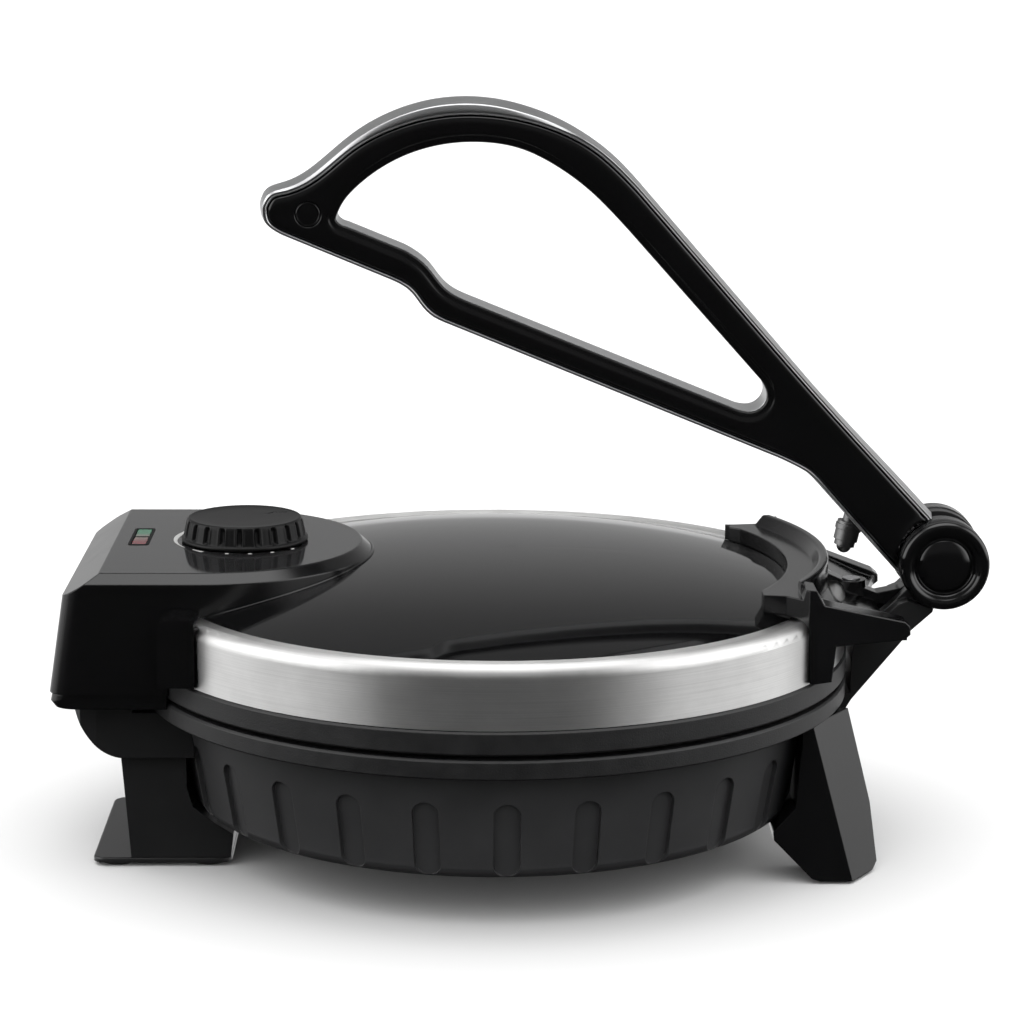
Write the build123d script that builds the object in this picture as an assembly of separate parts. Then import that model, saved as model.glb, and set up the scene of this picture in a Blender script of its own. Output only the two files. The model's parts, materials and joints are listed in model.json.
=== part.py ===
from build123d import *
import math
import os

# Electric roti maker: two round cast plates, a domed lid with a control
# housing at the front, a hinge at the back and a long pressing handle.
# Millimetres. +Z is up, +X runs from the control housing to the hinge,
# Y runs across. Everything is laid out about the plates' own axis and then
# moved along X so that the origin is the middle of the footprint box.

os.makedirs("parts", exist_ok=True)

# ------------------------------------------------------------ dimensions
ORIGIN_SHIFT = -11.35          # plate axis to the middle of the overall length

PLATE_R = 136.2                # rim of both cast plates
LOWER_Z0, LOWER_Z1 = 62.8, 69.9
UPPER_Z0, UPPER_Z1 = 71.5, 80.5
BAND_R = 135.6                 # stainless band round the lid
BAND_Z0, BAND_Z1 = 80.9, 99.0
SHOULDER_R = 5.0
DOME_R, DOME_TOP_Z = 125.5, 116.8
DOME_A, DOME_B = 6.0e-4, 1.9e-8   # fall of the dome with the radius squared and to the fourth
BAND_LIP_Z = 103.4             # band edge stands a little proud of the dome
DOME_WALL = 2.0

PAN_TOP_R, PAN_LOW_R = 125.0, 118.3
PAN_LOW_Z, PAN_BOTTOM_Z = 26.0, 19.8
PAN_WALL = 3.4
FLUTES, FLUTE_W, FLUTE_DEPTH = 26, 9.7, 1.9
FLUTE_Z0, FLUTE_Z1 = 21.0, 50.5
FLUTE_PHASE = -88.4            # degrees, one flute near the -Y side

NOSE_X, NOSE_R = -109.8, 57.8  # control panel: half-round end
PANEL_X0, PANEL_Z = -146.8, 119.3
BEVEL_OUT, BEVEL_DOWN = 4.2, 3.6
BODY_R = NOSE_R + BEVEL_OUT
FACET_X, FACET_Z = -161.1, 110.2
FRONT_X, HOUSING_Z0 = -166.65, 73.6
COVER_Z0 = 68.0

KNOB_X, KNOB_R0, KNOB_R1, KNOB_TOP_R = -97.0, 24.4, 23.4, 21.0
KNOB_Z0, KNOB_Z1 = 119.8, 128.8
KNOB_GROOVES, KNOB_GROOVE_PHASE = 21, -125.5      # count, degrees

HINGE_X, HINGE_Z = 172.1, 113.2
BARREL_R, PIN_R, RUN = 16.8, 4.0, 0.05
CHEEK_Y0, CHEEK_Y1, CAP_Y1 = 10.6, 17.5, 20.6

HANDLE_Y, INLAY_Y = 11.0, 8.2


# ------------------------------------------------------------ helpers
def save(name, shape):
    # a node is one solid, or a list of separate solids of the same kind
    loc = Location((ORIGIN_SHIFT, 0, 0))
    if isinstance(shape, list):
        s = Compound([one(p).moved(loc) for p in shape])
    else:
        s = shape.moved(loc)
    s.label = name
    export_step(s, f"parts/{name}.step")


def xz(y):
    # sketch plane in X and Z at a given y; extrusion goes towards -Y
    return Plane(origin=(0, y, 0), x_dir=(1, 0, 0), z_dir=(0, -1, 0))


def face_xz(edges_or_pts, y):
    if isinstance(edges_or_pts, list) and isinstance(edges_or_pts[0], tuple):
        w = Polyline(*edges_or_pts, close=True)
        return xz(y) * make_face(w)
    return xz(y) * make_face(edges_or_pts)


def prism_xz(pts, y0, y1):
    return extrude(face_xz(pts, y1), amount=y1 - y0)


def prism_xy(pts, z0, z1):
    return extrude(Plane.XY.offset(z0) * make_face(Polyline(*pts, close=True)),
                   amount=z1 - z0)


def lathe(pts):
    # revolve a closed profile given as (radius, z) about the plate axis
    return revolve(Plane.XZ * make_face(Polyline(*pts, close=True)), Axis.Z)


def disc(r, z0, z1, x=0.0, y=0.0):
    return Pos(x, y, (z0 + z1) / 2) * Cylinder(r, z1 - z0)


def tube(r_out, r_in, z0, z1, x=0.0, y=0.0):
    return disc(r_out, z0, z1, x, y) - disc(r_in, z0 - 1, z1 + 1, x, y)


def rod_y(r, y0, y1, x=HINGE_X, z=HINGE_Z):
    return Pos(x, (y0 + y1) / 2, z) * (Rot(90, 0, 0) * Cylinder(r, y1 - y0))


def box(x0, x1, y0, y1, z0, z1):
    return Pos((x0 + x1) / 2, (y0 + y1) / 2, (z0 + z1) / 2) * Box(
        x1 - x0, y1 - y0, z1 - z0)


def mirror_y(s):
    return mirror(s, Plane.XZ)


def one(shape):
    # largest solid of a result that may hold several
    sol = shape.solids()
    return max(sol, key=lambda s: s.volume)


def soften(shape, edges, r, kind="fillet"):
    # round edges one group at a time; a group that cannot be rounded stays
    try:
        return (fillet if kind == "fillet" else chamfer)(edges, r)
    except Exception:
        return shape


# dome surface: nearly flat in the middle, steeper towards its edge
def dome_z(r, off=0.0):
    slope = 2 * DOME_A * r + 4 * DOME_B * r ** 3
    return DOME_TOP_Z - DOME_A * r ** 2 - DOME_B * r ** 4 + off * math.sqrt(1 + slope ** 2)


def lid_solid(off):
    # the closed outer form of band and dome, grown by off
    pts = [(0, 60), (BAND_R + off, 60), (BAND_R + off, BAND_Z1)]
    for k in range(1, 10):
        a = math.radians(10 * k)
        pts.append((BAND_R - SHOULDER_R + (SHOULDER_R + off) * math.cos(a),
                    BAND_Z1 + (SHOULDER_R + off) * math.sin(a)))
    pts.append((DOME_R + 0.1, BAND_LIP_Z + off))
    pts.append((DOME_R - 0.3, dome_z(DOME_R - 0.3, off)))
    for k in range(1, 24):
        r = DOME_R * (1 - k / 24)
        pts.append((r, dome_z(r, off)))
    pts.append((0, dome_z(0, off)))
    return lathe(pts)


def pan_profile(off):
    # outer form of the pan, radius and z, moved in by off
    out = [(PAN_TOP_R - off, LOWER_Z0)]
    out.append((PAN_LOW_R - off, PAN_LOW_Z))
    n = 6
    cx, cz, r = PAN_LOW_R - 7.0, PAN_LOW_Z, 7.0 - off
    for k in range(1, n + 1):
        a = math.radians(-90 * k / n)
        out.append((cx + r * math.cos(a),
                    cz + (PAN_LOW_Z - PAN_BOTTOM_Z - off) * math.sin(a)))
    return out


# ============================================================ BASE
# pan: drafted skirt with a rounded foot and a ring of recessed flutes
outer = lathe([(0, LOWER_Z0)] + pan_profile(0) + [(0, PAN_BOTTOM_Z)])
inner = lathe([(0, LOWER_Z0 + 1)] + [(PAN_TOP_R - PAN_WALL, LOWER_Z0 + 1)]
              + pan_profile(PAN_WALL) + [(0, PAN_BOTTOM_Z + PAN_WALL)])
pan = outer - inner
lean = math.degrees(math.atan2(PAN_TOP_R - PAN_LOW_R, LOWER_Z0 - PAN_LOW_Z))
flute_len = FLUTE_Z1 - FLUTE_Z0
zm = (FLUTE_Z0 + FLUTE_Z1) / 2
rm = PAN_LOW_R + (PAN_TOP_R - PAN_LOW_R) * (zm - PAN_LOW_Z) / (LOWER_Z0 - PAN_LOW_Z)
pill = extrude(Plane.YZ * SlotOverall(flute_len, FLUTE_W, rotation=90),
               amount=14)
flute = Pos(rm - FLUTE_DEPTH, 0, zm) * (Rot(0, lean, 0) * pill)
cutters = [Rot(0, 0, FLUTE_PHASE + 360 / FLUTES * k) * flute for k in range(FLUTES)]
pan = pan - cutters
# inside the pan: three bosses that carry the lower plate
for a in (60, 180, 300):
    c, s = math.cos(math.radians(a)), math.sin(math.radians(a))
    pan = pan + disc(6.0, PAN_BOTTOM_Z + 1.0, 58.0, 96 * c, 96 * s)
    pan = pan - disc(1.9, 40.0, 59.0, 96 * c, 96 * s)
# screw holes for shelf, leg and hinge bracket; inlet hole for the mains lead
INLET_A = 62.0                 # degrees from +X towards +Y, at the back
ca, sa = math.cos(math.radians(INLET_A)), math.sin(math.radians(INLET_A))
inlet_r = PAN_LOW_R - 2
inlet = Pos(inlet_r * ca, inlet_r * sa, 36) * (Rot(0, 0, INLET_A) * (Rot(0, 90, 0) * Cylinder(6.5, 40)))
pan = pan - inlet
BR_SCREWS = [(s * 11.0, z) for s in (-1, 1) for z in (40.0, 50.0)]
for (yy, zz) in BR_SCREWS:
    pan = pan - (Pos(122, yy, zz) * (Rot(0, 90, 0) * Cylinder(2.1, 30)))
pan = one(pan)

grommet = Rot(0, 90, 0) * (Cylinder(9.0, 2.4) + Pos(0, 0, -3.2) * Cylinder(6.4, 5.0)
                           + Pos(0, 0, -6.4) * Cylinder(8.0, 1.6))
grommet = grommet - (Rot(0, 90, 0) * Cylinder(4.0, 40))
rg = PAN_LOW_R + (PAN_TOP_R - PAN_LOW_R) * (36 - PAN_LOW_Z) / (LOWER_Z0 - PAN_LOW_Z)
cord_grommet = Pos(rg * ca, rg * sa, 36) * (Rot(0, 0, INLET_A) * (Pos(1.3, 0, 0) * grommet))
cord_grommet = one(cord_grommet - lathe([(0, 10), (0, 70)] + [(PAN_TOP_R + (70 - LOWER_Z0) * 0.18, 70)]
                                        + [(PAN_LOW_R, PAN_LOW_Z), (PAN_LOW_R, 10)])
                   + (cord_grommet & inlet))
pan_cut = Pos(0, 0, 0) * cord_grommet
save("base_pan", pan)
save("cord_grommet", cord_grommet)

# lower cast plate: flat cooking face, thicker rim, element channel below
lower = lathe([(0, 64.4), (0, LOWER_Z1), (PLATE_R - 0.8, LOWER_Z1), (PLATE_R, LOWER_Z1 - 0.8),
               (PLATE_R, LOWER_Z0 + 0.5), (PLATE_R - 0.5, LOWER_Z0), (118.0, LOWER_Z0),
               (118.0, 64.4)])
for a in (60, 180, 300):
    c, s = math.cos(math.radians(a)), math.sin(math.radians(a))
    lower = lower + disc(6.0, 58.0, 66.0, 96 * c, 96 * s)
    lower = lower - disc(1.65, 57.0, 65.0, 96 * c, 96 * s)
groove_l = Pos(0, 0, 64.2) * Torus(82, 3.4)
lower = lower + tube(88.0, 76.0, 61.4, 65.0) - groove_l
lower = lower - tube(85.4, 78.6, 60.0, 64.2)
save("lower_plate", one(lower))


def element(zc, z_pin, a0):
    # tubular ring heater with two cold ends turned away from the plate
    ring = Pos(0, 0, zc) * Torus(82, 3.3)
    gap = Rot(0, 0, a0) * box(60, 100, -14, 14, zc - 6, zc + 6)
    ring = ring - gap
    da = math.degrees(math.asin(14 / 82)) + 1.6
    for s in (-1, 1):
        a = math.radians(a0 + s * da)
        x, y = 82 * math.cos(a), 82 * math.sin(a)
        lo, hi = (z_pin, zc) if z_pin < zc else (zc, z_pin)
        lo, hi = (lo, hi + 0.5) if z_pin < zc else (lo - 0.5, hi)
        ring = ring + disc(3.25, lo, hi, x, y)
        lo, hi = (z_pin - 5, z_pin) if z_pin < zc else (z_pin, z_pin + 5)
        ring = ring + disc(1.3, lo, hi, x, y)
    return ring


save("lower_element", one(element(64.2, 52.0, 100.0)))

# tinned steel dish that keeps the heat off the pan
shield = lathe([(0, 44.0), (0, 45.0), (104.0, 45.0), (112.0, 57.0), (117.5, 57.0),
                (117.5, 56.0), (112.6, 56.0), (104.5, 44.0)])
for a in (60, 180, 300):
    c, s = math.cos(math.radians(a)), math.sin(math.radians(a))
    shield = shield - disc(6.6, 40, 60, 96 * c, 96 * s)
for s in (-1, 1):
    da = math.radians(100.0 + s * (math.degrees(math.asin(14 / 82)) + 1.6))
    shield = shield - disc(5.0, 40, 60, 82 * math.cos(da), 82 * math.sin(da))
save("lower_heat_shield", one(shield))

# ceramic terminal block on the pan floor, by the inlet
blk = box(20, 56, 46, 64, PAN_BOTTOM_Z + PAN_WALL, 37)
for i in range(3):
    blk = blk - disc(2.4, 31, 40, 27 + 11 * i, 55)
    blk = blk - Pos(27 + 11 * i, 55, 29) * (Rot(90, 0, 0) * Cylinder(2.0, 30))
save("terminal_block", one(blk))

# front shelf: quarter-round ledge under the control housing
SHELF_W = 45.0
shelf_edges = [
    Line((-159.7, 66.2), (-159.7, 64.6)),
    Spline((-159.7, 64.6), (-157.8, 58.8), (-154.4, 52.9), (-149.2, 47.6), (-141.7, 44.6)),
    Line((-141.7, 44.6), (-114.0, 44.6)),
    Line((-114.0, 44.6), (-114.0, 62.3)),
    Line((-114.0, 62.3), (-137.2, 62.3)),
    Line((-137.2, 62.3), (-137.2, 66.2)),
    Line((-137.2, 66.2), (-159.7, 66.2)),
]
shelf = extrude(face_xz(Wire(shelf_edges), SHELF_W), amount=2 * SHELF_W)
shelf = shelf & prism_xy([(-160, -40.0), (-157, -43.5), (-151, -45), (-100, -45), (-100, 45),
                          (-151, 45), (-157, 43.5), (-160, 40.0)], 40, 70)
shelf = shelf - outer
shelf = shelf - disc(PLATE_R + 0.4, LOWER_Z0 - 0.2, 80)
# hollow from below between two end webs
shelf = shelf - prism_xz([(-156.6, 63.6), (-154.5, 58.0), (-151.5, 53.2), (-147.5, 49.6), (-141.0, 47.4),
                          (-137.8, 47.4), (-137.8, 63.6)], -41.5, 41.5)
save("front_shelf", one(shelf))

# front leg: broad stand with a set-back web towards the pan
leg_pts = [(-142.4, 44.4), (-141.3, 30.5), (-139.2, 3.6), (-101.2, 3.6), (-100.1, 12.7), (-106.7, 16.9),
           (-115.4, 23.7), (-117.6, 31.6), (-117.6, 44.4)]
fl = prism_xz(leg_pts, -39.6, 39.6)
fl = fl - prism_xz([(-138.6, 41.2), (-137.6, 30.0), (-135.6, 7.0), (-104.8, 7.0), (-104.4, 11.4),
                    (-109.6, 14.8), (-119.4, 22.2), (-121.6, 31.0), (-121.6, 41.2)], -36.4, 36.4)
fl = fl - outer
save("front_leg", one(fl))
fp = extrude(Plane.XY.offset(1.6) * (Pos(-127.5, 0) * RectangleRounded(53, 80, 5)), amount=2.0)
try:
    fp = fillet(fp.edges().group_by(Axis.Z)[-1], 0.8)
except Exception:
    pass
save("front_foot_plate", one(fp))
pads = [disc(6.5, 0.0, 1.6, x, y) for x in (-145, -110) for y in (-31, 31)]
save("front_foot_pads", pads)


# rear legs: tapering feet with a sharp ridge, screwed to the skirt
def halfspace_cut(solid, p, n, size=200):
    # keep the side of the plane away from the normal
    pl = Plane(origin=p, z_dir=n)
    blockx = pl * (Pos(0, 0, size / 2) * Box(size, size, size))
    return solid - blockx


rl_pts = [(114.0, 62.4), (114.3, 56.0), (112.0, 29.6), (104.0, 20.6), (104.3, 17.4), (119.0, 2.2),
          (122.0, 1.2), (143.5, 1.2), (145.6, 3.6), (143.0, 25.5), (133.8, 62.4)]
rl = prism_xz(rl_pts, -62.0, -38.0)
A, B, C = Vector(119.4, -62, 57), Vector(135.6, -60, 1.2), Vector(133.6, -38, 63)
rl = halfspace_cut(rl, A, (B - A).cross(C - A).normalized())
rl = halfspace_cut(rl, Vector(0, -62, 57.2), Vector(0, -0.75, 0.66).normalized())
rl = rl - lathe([(0, 0)] + [(0, LOWER_Z0)] + pan_profile(0) + [(0, PAN_BOTTOM_Z)])
rl = one(rl)
save("rear_leg_near", rl)
save("rear_leg_far", mirror_y(rl))
rp = [disc(5.5, 0.0, 1.2, 131.0, s * 51.5) for s in (-1, 1)]
save("rear_foot_pads", rp)

# hinge bracket: wedge that stands off the back of the pan and carries the
# hinge pin between two ears
wide = prism_xz([(116.0, 36.0), (126.5, 36.0), (133.0, 52.0), (137.7, 60.0), (160.1, 87.4), (168.1, 94.6),
                 (168.4, 96.0), (163.5, 97.4), (158.5, 99.0), (155.0, 97.6), (147.0, 90.6), (138.4, 84.0),
                 (137.2, 76.0), (137.2, 62.3), (116.0, 62.3)], -16.6, 16.6)
wide = wide - outer
wide = wide - disc(PLATE_R + 0.5, LOWER_Z0 - 0.4, 105)
wide = wide - rod_y(BARREL_R + 0.75, -20, 20)
wide = wide - prism_xz([(144.5, 80.5), (150.5, 86.5), (155.5, 89.5), (158.2, 88.9), (141.4, 67.9), (140.6, 72.0),
                        (141.0, 78.0)], -12.8, 12.8)
ear = prism_xz([(147.0, 90.6), (158.6, 101.8), (162.0, 106.0), (176.0, 100.0), (168.1, 94.6), (160.1, 87.4)],
               4.35, 10.2) + rod_y(BARREL_R, 4.35, 10.2)
bracket = wide + ear + mirror_y(ear)
bracket = bracket - box(140, 200, -4.35, 4.35, 90.4, 140)
bracket = bracket - rod_y(PIN_R, -20, 20)
for (yy, zz) in BR_SCREWS:
    bracket = bracket - (Pos(126, yy, zz) * (Rot(0, 90, 0) * Cylinder(1.75, 16)))
bracket = one(bracket)
save("rear_hinge_bracket", bracket)

# steel pin, held in the ears, with a retaining washer at each end
pin = rod_y(PIN_R, -17.0, 17.0)
for s in (-1, 1):
    pin = pin - (rod_y(PIN_R + 1, s * 16.4 - 0.5, s * 16.4 + 0.5) - rod_y(3.2, s * 16.4 - 0.6, s * 16.4 + 0.6))
save("hinge_pin", one(pin))
clips = []
for s in (-1, 1):
    clip = rod_y(6.4, s * 16.4 - 0.45, s * 16.4 + 0.45) - rod_y(3.2, s * 16.4 - 1, s * 16.4 + 1)
    clip = clip - box(HINGE_X - 2.2, HINGE_X + 2.2, s * 16.4 - 1, s * 16.4 + 1, HINGE_Z - 9, HINGE_Z)
    clips.append(one(clip))
save("pin_clips", clips)

# screws from inside the pan into the hinge bracket
scr = []
for (yy, zz) in BR_SCREWS:
    r_in = (PAN_LOW_R - PAN_WALL) + (PAN_TOP_R - PAN_LOW_R) * (zz - PAN_LOW_Z) / (LOWER_Z0 - PAN_LOW_Z)
    x_in = math.sqrt(r_in ** 2 - yy ** 2) - 1.0
    scr.append(Pos(x_in - 1.2, yy, zz) * (Rot(0, 90, 0) * Cylinder(3.6, 2.4))
               + Pos(x_in + 6.4, yy, zz) * (Rot(0, 90, 0) * Cylinder(1.7, 13.0)))
save("bracket_screws", scr)
ps = []
for a in (60, 180, 300):
    c, s = math.cos(math.radians(a)), math.sin(math.radians(a))
    ps.append(disc(1.6, 44.0, 64.5, 96 * c, 96 * s))
save("plate_screws", ps)

# ============================================================ LID
lid_block = lid_solid(0.0)

# upper cast plate with a raised rim and an element channel on its back
upper = lathe([(0, UPPER_Z0), (PLATE_R - 0.8, UPPER_Z0), (PLATE_R, UPPER_Z0 + 0.8), (PLATE_R, UPPER_Z1 - 1.0),
               (PLATE_R - 1.0, UPPER_Z1), (122.0, UPPER_Z1), (122.0, 77.0), (0, 77.0)])
upper = upper + tube(88.0, 76.0, 76.0, 80.0) - (Pos(0, 0, 77.2) * Torus(82, 3.4))
upper = upper - tube(85.4, 78.6, 77.2, 82.0)
for a in (30, 150, 210, 330):
    c, s = math.cos(math.radians(a)), math.sin(math.radians(a))
    upper = upper + disc(5.0, 76.5, 86.0, 112 * c, 112 * s)
    upper = upper - disc(1.65, 78.0, 87.0, 112 * c, 112 * s)
save("upper_plate", one(upper))
save("upper_element", one(element(77.2, 90.0, 180.0)))

reflector = lathe([(0, 86.0), (117.5, 86.0), (120.0, 83.0), (126.0, 83.0), (126.0, 83.8), (120.4, 83.8),
                   (118.0, 86.9), (0, 86.9)])
for s in (-1, 1):
    da = math.radians(180.0 + s * (math.degrees(math.asin(14 / 82)) + 1.6))
    reflector = reflector - disc(5.0, 80, 90, 82 * math.cos(da), 82 * math.sin(da))
for a in (30, 150, 210, 330):
    c, s = math.cos(math.radians(a)), math.sin(math.radians(a))
    reflector = reflector - disc(1.9, 80, 90, 112 * c, 112 * s)
save("heat_reflector", one(reflector))
ls = []
for a in (30, 150, 210, 330):
    c, s = math.cos(math.radians(a)), math.sin(math.radians(a))
    ls.append(disc(1.6, 79.0, 86.9, 112 * c, 112 * s) + disc(3.2, 86.9, 88.6, 112 * c, 112 * s))
save("reflector_screws", ls)

# stainless band with a rolled shoulder
w = 0.8
bp = [(BAND_R, BAND_Z0 - 0.3), (BAND_R, BAND_Z1)]
for k in range(1, 9):
    a = math.radians(10 * k)
    bp.append((BAND_R - SHOULDER_R + SHOULDER_R * math.cos(a), BAND_Z1 + SHOULDER_R * math.sin(a)))
bp.append((DOME_R + 0.1, BAND_LIP_Z))
bp.append((DOME_R + 0.1, BAND_LIP_Z - w))
for k in range(8, -1, -1):
    a = math.radians(10 * k)
    bp.append((BAND_R - SHOULDER_R + (SHOULDER_R - w) * math.cos(a), BAND_Z1 + (SHOULDER_R - w) * math.sin(a)))
bp.append((BAND_R - w, BAND_Z0 - 0.3))
bp.append((BAND_R, BAND_Z0 - 0.3))
band_edges = [Line(bp[0], bp[1]), ThreePointArc(bp[1], bp[5], bp[9]), Line(bp[9], bp[10]), Line(bp[10], bp[11]),
              Line(bp[11], bp[12]), ThreePointArc(bp[12], bp[16], bp[20]), Line(bp[20], bp[21]), Line(bp[21], bp[0])]
band = revolve(Plane.XZ * make_face(Wire(band_edges)), Axis.Z)
save("steel_band", one(band))

# dome: thin glossy shell with a spigot that centres it in the band
DOME_EDGE_Z = dome_z(DOME_R - 0.1)


def dome_curve(off, r_end):
    pts = [(r, dome_z(r) + off) for r in (0, 20, 40, 60, 80, 95, 108, 118)] + [(r_end, dome_z(r_end) + off)]
    return Spline(*pts, tangents=[(1, 0), (1, -(2 * DOME_A * r_end + 4 * DOME_B * r_end ** 3))], tangent_scalars=(1.0, 1.0))


top_arc = dome_curve(0, DOME_R - 0.1)
bot_arc = dome_curve(-DOME_WALL, 121.5)
e = [top_arc, Line((DOME_R - 0.1, DOME_EDGE_Z), (DOME_R - 0.1, DOME_EDGE_Z - 1.6)),
     Line((DOME_R - 0.1, DOME_EDGE_Z - 1.6), (124.4, 97.0)), Line((124.4, 97.0), (122.4, 97.0)),
     Line((122.4, 97.0), (121.5, dome_z(121.5) - DOME_WALL)), bot_arc,
     Line((0, DOME_TOP_Z - DOME_WALL), (0, DOME_TOP_Z))]
dome = revolve(Plane.XZ * make_face(Wire(e)), Axis.Z)
dome = dome - box(-120, -74, -30, 30, 95, 120)         # way down into the lid under the housing
save("lid_dome", one(dome))


def nose_face(half, x0, z):
    # plan outline: straight sides closed by a half-round nose
    w1 = [Line((x0, -half), (NOSE_X, -half)), ThreePointArc((NOSE_X, -half), (NOSE_X + half, 0), (NOSE_X, half)),
          Line((NOSE_X, half), (x0, half)), Line((x0, half), (x0, -half))]
    return Plane.XY.offset(z) * make_face(Wire(w1))


# control housing
body = extrude(nose_face(BODY_R, -175.0, HOUSING_Z0), amount=PANEL_Z - HOUSING_Z0)
top_edges = [ed for ed in body.edges() if abs(ed.center().Z - PANEL_Z) < 1e-3 and ed.center().X > -170]
body = chamfer(top_edges, BEVEL_DOWN, BEVEL_OUT)
front = prism_xz([(FRONT_X, HOUSING_Z0), (FACET_X, FACET_Z), (PANEL_X0, PANEL_Z), (-40, PANEL_Z), (-40, HOUSING_Z0)],
                 -80, 80)
body = body & front
vert = [ed for ed in body.edges() if abs(abs(ed.center().Y) - BODY_R) < 0.6 and ed.center().X < -158
        and 80 < ed.center().Z < 100]
body = soften(body, vert, 8.5)
facet_corner = [ed for ed in body.edges() if abs(ed.center().Y) > 52 and ed.center().X < -148
                and 108 < ed.center().Z < 118.5 and abs(ed.center().X - FACET_X) > 1.0]
body_full = body
# cheeks: flat ends that lap round the band
cheek = None
for s in (-1, 1):
    a0, a1 = math.radians(207.0), math.radians(215.6)
    sector = prism_xy([(0, 0)] + [(150 * math.cos(a0 + (a1 - a0) * k / 6), s * 150 * -math.sin(a0 + (a1 - a0) * k / 6) * -1)
                                  for k in range(7)], 76, 106)
    tab = sector & lid_solid(1.7)
    tab = tab & disc(200, 80.9, 103.4)
    cheek = tab if cheek is None else cheek + tab
body = body + cheek
body = body - lid_solid(0.25) - disc(PLATE_R + 0.3, 60, UPPER_Z1 + 0.4)
# inside: 2.6 mm walls, open at the top for the panel and below for the cover
cav = extrude(nose_face(BODY_R - 2.6, -171.0, HOUSING_Z0 - 1), amount=PANEL_Z - 2.5 - HOUSING_Z0 + 1 - 2.2)
cav = cav & prism_xz([(FRONT_X + 2.7, HOUSING_Z0 - 2), (FACET_X + 2.7, FACET_Z - 1.2), (PANEL_X0 + 1.0, PANEL_Z - 4.4),
                      (-40, PANEL_Z - 4.4), (-40, HOUSING_Z0 - 2)], -80, 80)
cav = cav & extrude(nose_face(BODY_R - 2.6, -171.0, HOUSING_Z0 - 1), amount=60)
body = body - cav
body = body - extrude(nose_face(NOSE_R - 2.4, PANEL_X0 + 2.4, 110), amount=12)
body = body - extrude(nose_face(NOSE_R - 0.05, PANEL_X0 + 0.05, PANEL_Z - 2.5), amount=6)
save("control_housing", one(body))

# base cover: closes the housing from below in front of the plates
cov = extrude(nose_face(BODY_R - 1.0, -175.0, COVER_Z0), amount=HOUSING_Z0 - COVER_Z0)
cov = cov & prism_xz([(-164.6, COVER_Z0), (-166.3, COVER_Z0 + 2.2), (-165.6, HOUSING_Z0), (-100, HOUSING_Z0),
                      (-100, COVER_Z0)], -80, 80)
vert = [ed for ed in cov.edges() if abs(abs(ed.center().Y) - (BODY_R - 1.0)) < 0.6 and ed.center().X < -160
        and ed.length < 8 and 69 < ed.center().Z < 72.9]
cov = soften(cov, vert, 7.0)
cov = cov - disc(PLATE_R + 0.5, 60, 90)
cov = cov - extrude(nose_face(BODY_R - 6.0, -160.0, COVER_Z0 + 2.0), amount=10) + box(-150, -142, -6, 6, COVER_Z0, HOUSING_Z0)
save("housing_base_cover", one(cov))

# control panel with its openings
panel = extrude(nose_face(NOSE_R - 0.1, PANEL_X0 + 0.1, PANEL_Z - 2.5), amount=2.5)
panel = panel - disc(5.05, 110, 125, KNOB_X)
LAMP_X, LAMP_Y0, LAMP_Y1, LAMP_W = -137.4, -9.6, 20.4, 8.0
lamp_mid = (LAMP_Y0 + LAMP_Y1) / 2
lamp_cut = Pos(LAMP_X, lamp_mid, PANEL_Z - 1) * extrude(RectangleRounded(LAMP_W, LAMP_Y1 - LAMP_Y0, 1.4), amount=4, both=True)
panel = panel - lamp_cut
save("control_panel", one(panel))
bez = Pos(LAMP_X, lamp_mid, 0) * (extrude(Plane.XY.offset(PANEL_Z - 3.0) * RectangleRounded(LAMP_W - 0.1, LAMP_Y1 - LAMP_Y0 - 0.1, 1.3), amount=3.2)
                                  - extrude(Plane.XY.offset(PANEL_Z - 4.0) * RectangleRounded(LAMP_W - 2.0, LAMP_Y1 - LAMP_Y0 - 2.0, 0.8), amount=6))
bez = bez + box(LAMP_X - LAMP_W / 2 + 0.5, LAMP_X + LAMP_W / 2 - 0.5, lamp_mid - 0.5, lamp_mid + 0.5, PANEL_Z - 3.0, PANEL_Z + 0.1)
save("lamp_bezel", one(bez))
for nm, ya, yb in (("lamp_lens_red", LAMP_Y0 + 1.15, lamp_mid - 0.6), ("lamp_lens_green", lamp_mid + 0.6, LAMP_Y1 - 1.15)):
    lens = box(LAMP_X - LAMP_W / 2 + 1.15, LAMP_X + LAMP_W / 2 - 1.15, ya, yb, PANEL_Z - 3.0, PANEL_Z + 0.05)
    lens = soften(lens, lens.edges().group_by(Axis.Z)[-1], 0.5)
    save(nm, one(lens))
neon = [Pos(LAMP_X, y, PANEL_Z - 7.0) * (Rot(90, 0, 0) * Cylinder(2.2, 9)) for y in (lamp_mid - 7.4, lamp_mid + 7.4)]
neon = [n + box(LAMP_X - 3.0, LAMP_X + 3.0, n.center().Y - 2.0, n.center().Y + 2.0, PANEL_Z - 8.4, PANEL_Z - 3.0) for n in neon]
save("neon_lamps", neon)

# thermostat: body under the panel, threaded bush through it, D shaft
tb = box(KNOB_X - 15, KNOB_X + 15, -13, 13, 96.0, 112.6)
tb = tb + disc(9.0, 92.0, 96.0, KNOB_X)
tb = tb - disc(3.05, 95, 114, KNOB_X)
tb = soften(tb, tb.edges().filter_by(Axis.Z), 1.5)
save("thermostat_body", one(tb))
bush = (tube(5.0, 3.05, 112.6, 119.3, KNOB_X) + tube(8.2, 4.9, 114.6, 116.8, KNOB_X))
save("thermostat_bush", one(bush))
shaft = disc(3.0, 99.0, 126.2, KNOB_X) - box(KNOB_X - 4, KNOB_X + 4, 1.6, 4, 121.4, 127)
save("thermostat_shaft", one(shaft))
tt = []
for s in (-1, 1):
    tt.append(box(KNOB_X + s * 15, KNOB_X + s * 22, -3.2, 3.2, 101.0, 101.8) if s > 0 else
              box(KNOB_X - 22, KNOB_X - 15, -3.2, 3.2, 101.0, 101.8))
save("thermostat_terminals", tt)

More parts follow.
